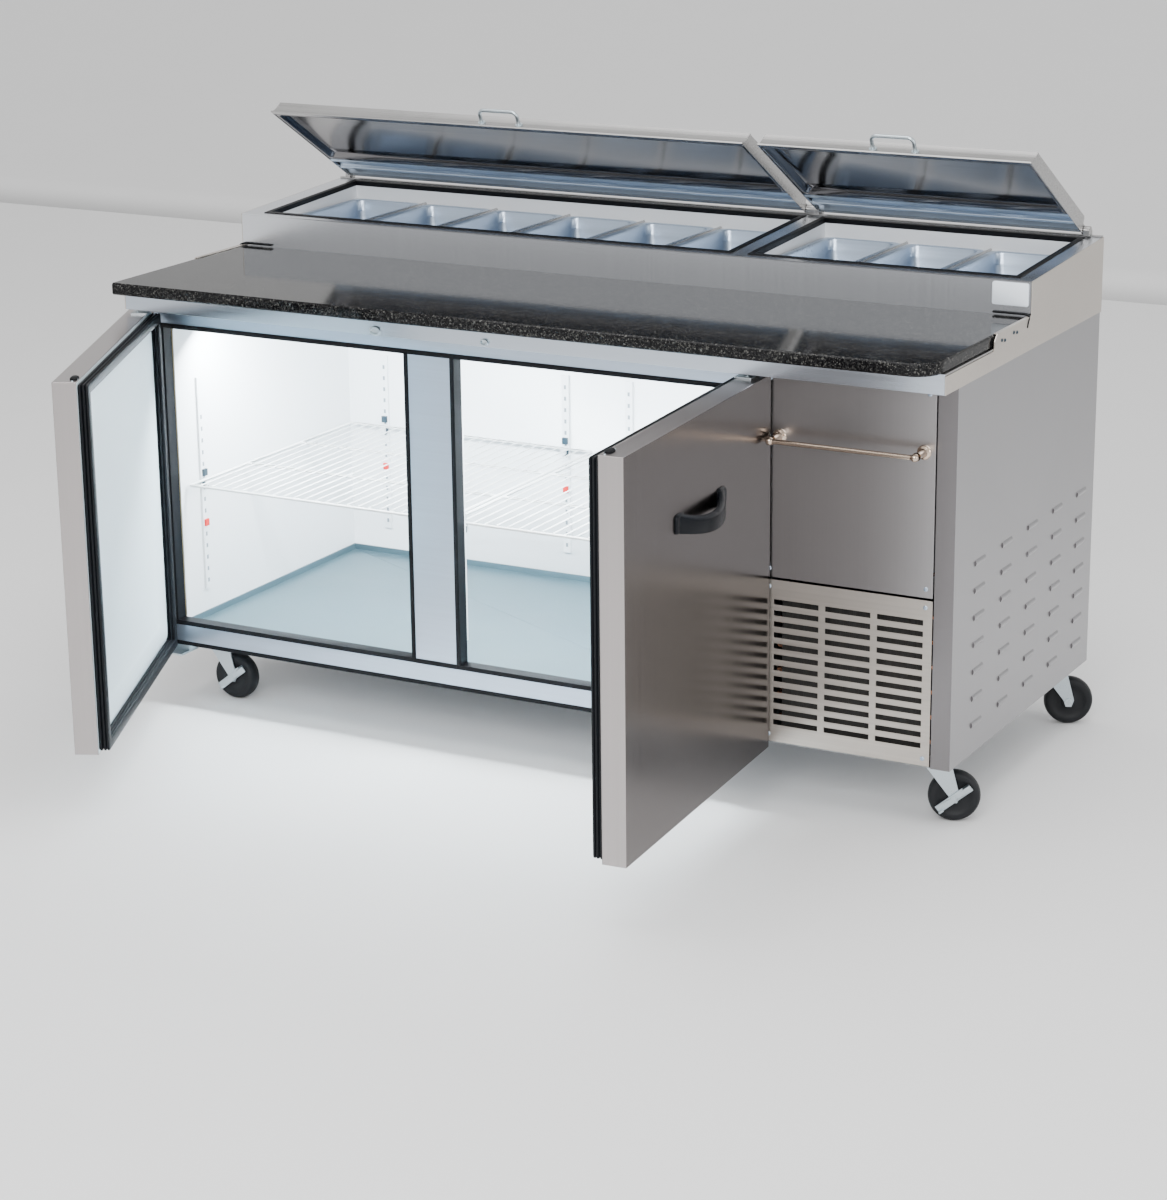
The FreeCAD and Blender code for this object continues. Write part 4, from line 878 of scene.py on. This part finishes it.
def caster_wheel(corner, place):
    """Wheel with a stepped hub on both sides and a round tread."""
    half, shoulder, bore = WHEEL_WIDTH / 2, 44, 5.1
    near = [(bore, -half - 1.5), (12, -half - 1.5), (12.6, -half + 1), (15, -half + 3), (32, -half + 3),
            (35, -half + 0.6), (40, -half), (shoulder, -half + 0.4)]
    tread = [(shoulder + (WHEEL_RADIUS - shoulder) * math.cos(math.radians(a)),
              (half - 0.4) * math.sin(math.radians(a))) for a in range(-75, 76, 15)]
    far = [(radius, -along) for radius, along in reversed(near)]
    axle = (TRAIL, 0, WHEEL_RADIUS)
    bm = bmesh.new()
    lathe(bm, near + tread + far, axle, "y", 56, (False, False))
    lathe(bm, (near[0], far[-1]), axle, "y", 56, (False, False))
    add(f"caster_{corner}_tread_wheel", bm, place, f"wheel_{corner}", "tyre", "wheel_rubber",
        stands_for=(f"caster_{corner}_wheel",), angle=40)


def caster_hardware(corner, place):
    """Axle nuts, bearing race and kingpin nut; a brake lever takes one axle nut's place."""
    hexagon = [(TRAIL + 9 * math.cos(math.radians(a)), WHEEL_RADIUS + 9 * math.sin(math.radians(a)))
               for a in range(0, 360, 60)]
    bm = bmesh.new()
    for way in ((1,) if corner.startswith("front") else (-1, 1)):
        seat = way * (WHEEL_WIDTH / 2 + 5)
        prism(bm, hexagon, "y", *sorted((seat, seat + way * 2.6)))
    race = ((27.4, 113.4), (29.4, 115), (30, 118.4), (28.6, 121.6), (27.4, 122.6))
    lathe(bm, race, (0, 0, 0), "z", 48, (False, False))
    lathe(bm, ((10, 106.5), (10, 111), (8.6, 112)), (0, 0, 0), "z", 6)
    add(f"caster_{corner}_hardware", bm, place, f"fork_{corner}", "zinc", "zinc_plate")


for corner, (x, y, degrees) in CASTERS.items():
    place = local(x, y, 0, "Z", degrees)
    caster_wheel(corner, place)
    caster_hardware(corner, place)


# ------------------------------------------------------------------ floor, light and camera

def floor_sweep():
    """Floor that curves up into a backdrop, in metres."""
    front, back, bend, side = -9, 5, 8, 14
    profile = [(front, 0), (back, 0)] + arc((back, bend), bend, 270, 360, 24) + [(back + bend, 14)]
    bm = bmesh.new()
    loft(bm, [[(x, y, z) for y, z in profile] for x in (-side, side)], around=False)
    mesh = bpy.data.meshes.new("floor")
    bm.to_mesh(mesh)
    bm.free()
    mesh.shade_smooth()
    mesh.materials.append(material("floor", (0.86, 0.86, 0.86), (0.6, 0.7), 0.01, fine=200,
                                   bump=0.02, wear=0, specular=0.2))
    floor = bpy.data.objects.new("floor", mesh)
    bpy.context.scene.collection.objects.link(floor)


def area_light(name, place, target, size, power, colour=(1, 1, 1)):
    """Rectangular light at a place, turned to a target; places and sizes in metres."""
    data = bpy.data.lights.new(name, "AREA")
    data.shape = "RECTANGLE"
    data.size, data.size_y = size
    data.energy = power
    data.color = colour
    light = bpy.data.objects.new(name, data)
    light.location = place
    light.rotation_euler = (Vector(target) - Vector(place)).to_track_quat("-Z", "Y").to_euler()
    bpy.context.scene.collection.objects.link(light)


floor_sweep()
world = bpy.data.worlds.new("studio")
world.use_nodes = True
backdrop = world.node_tree.nodes["Background"]
backdrop.inputs["Color"].default_value = (1, 1, 1, 1)
backdrop.inputs["Strength"].default_value = 1.0
bpy.context.scene.world = world
area_light("key", (1.6, -4.6, 3.2), (0, 0, 0.5), (3.0, 2.0), 190)
area_light("top", (0, -0.4, 4.2), (0, 0, 0.5), (4.0, 3.0), 110)
area_light("side", (4.8, -0.6, 1.8), (0, 0, 0.6), (2.5, 2.0), 50)
BAY_LIGHT, COLD_WHITE = 24, (0.88, 0.96, 1.0)
for number, (left, right) in enumerate(BAYS):
    middle = (left + right) / 2
    area_light(f"bay_{number}", CABINET @ Vector((middle, 120, 815)), CABINET @ Vector((middle, 500, 200)),
               (0.5, 0.12), BAY_LIGHT, COLD_WHITE)

CAMERA_LENS = 91.753
CAMERA_PLACE = (2014.05, -5109.0, 2139.09)
CAMERA_TURN = (73.062, 0.656, 28.557)    # degrees
camera_data = bpy.data.cameras.new("camera")
camera_data.lens = CAMERA_LENS
camera = bpy.data.objects.new("camera", camera_data)
camera.location = CABINET @ Vector(CAMERA_PLACE)
camera.rotation_euler = Euler([math.radians(a) for a in CAMERA_TURN])
bpy.context.scene.collection.objects.link(camera)
bpy.context.scene.camera = camera
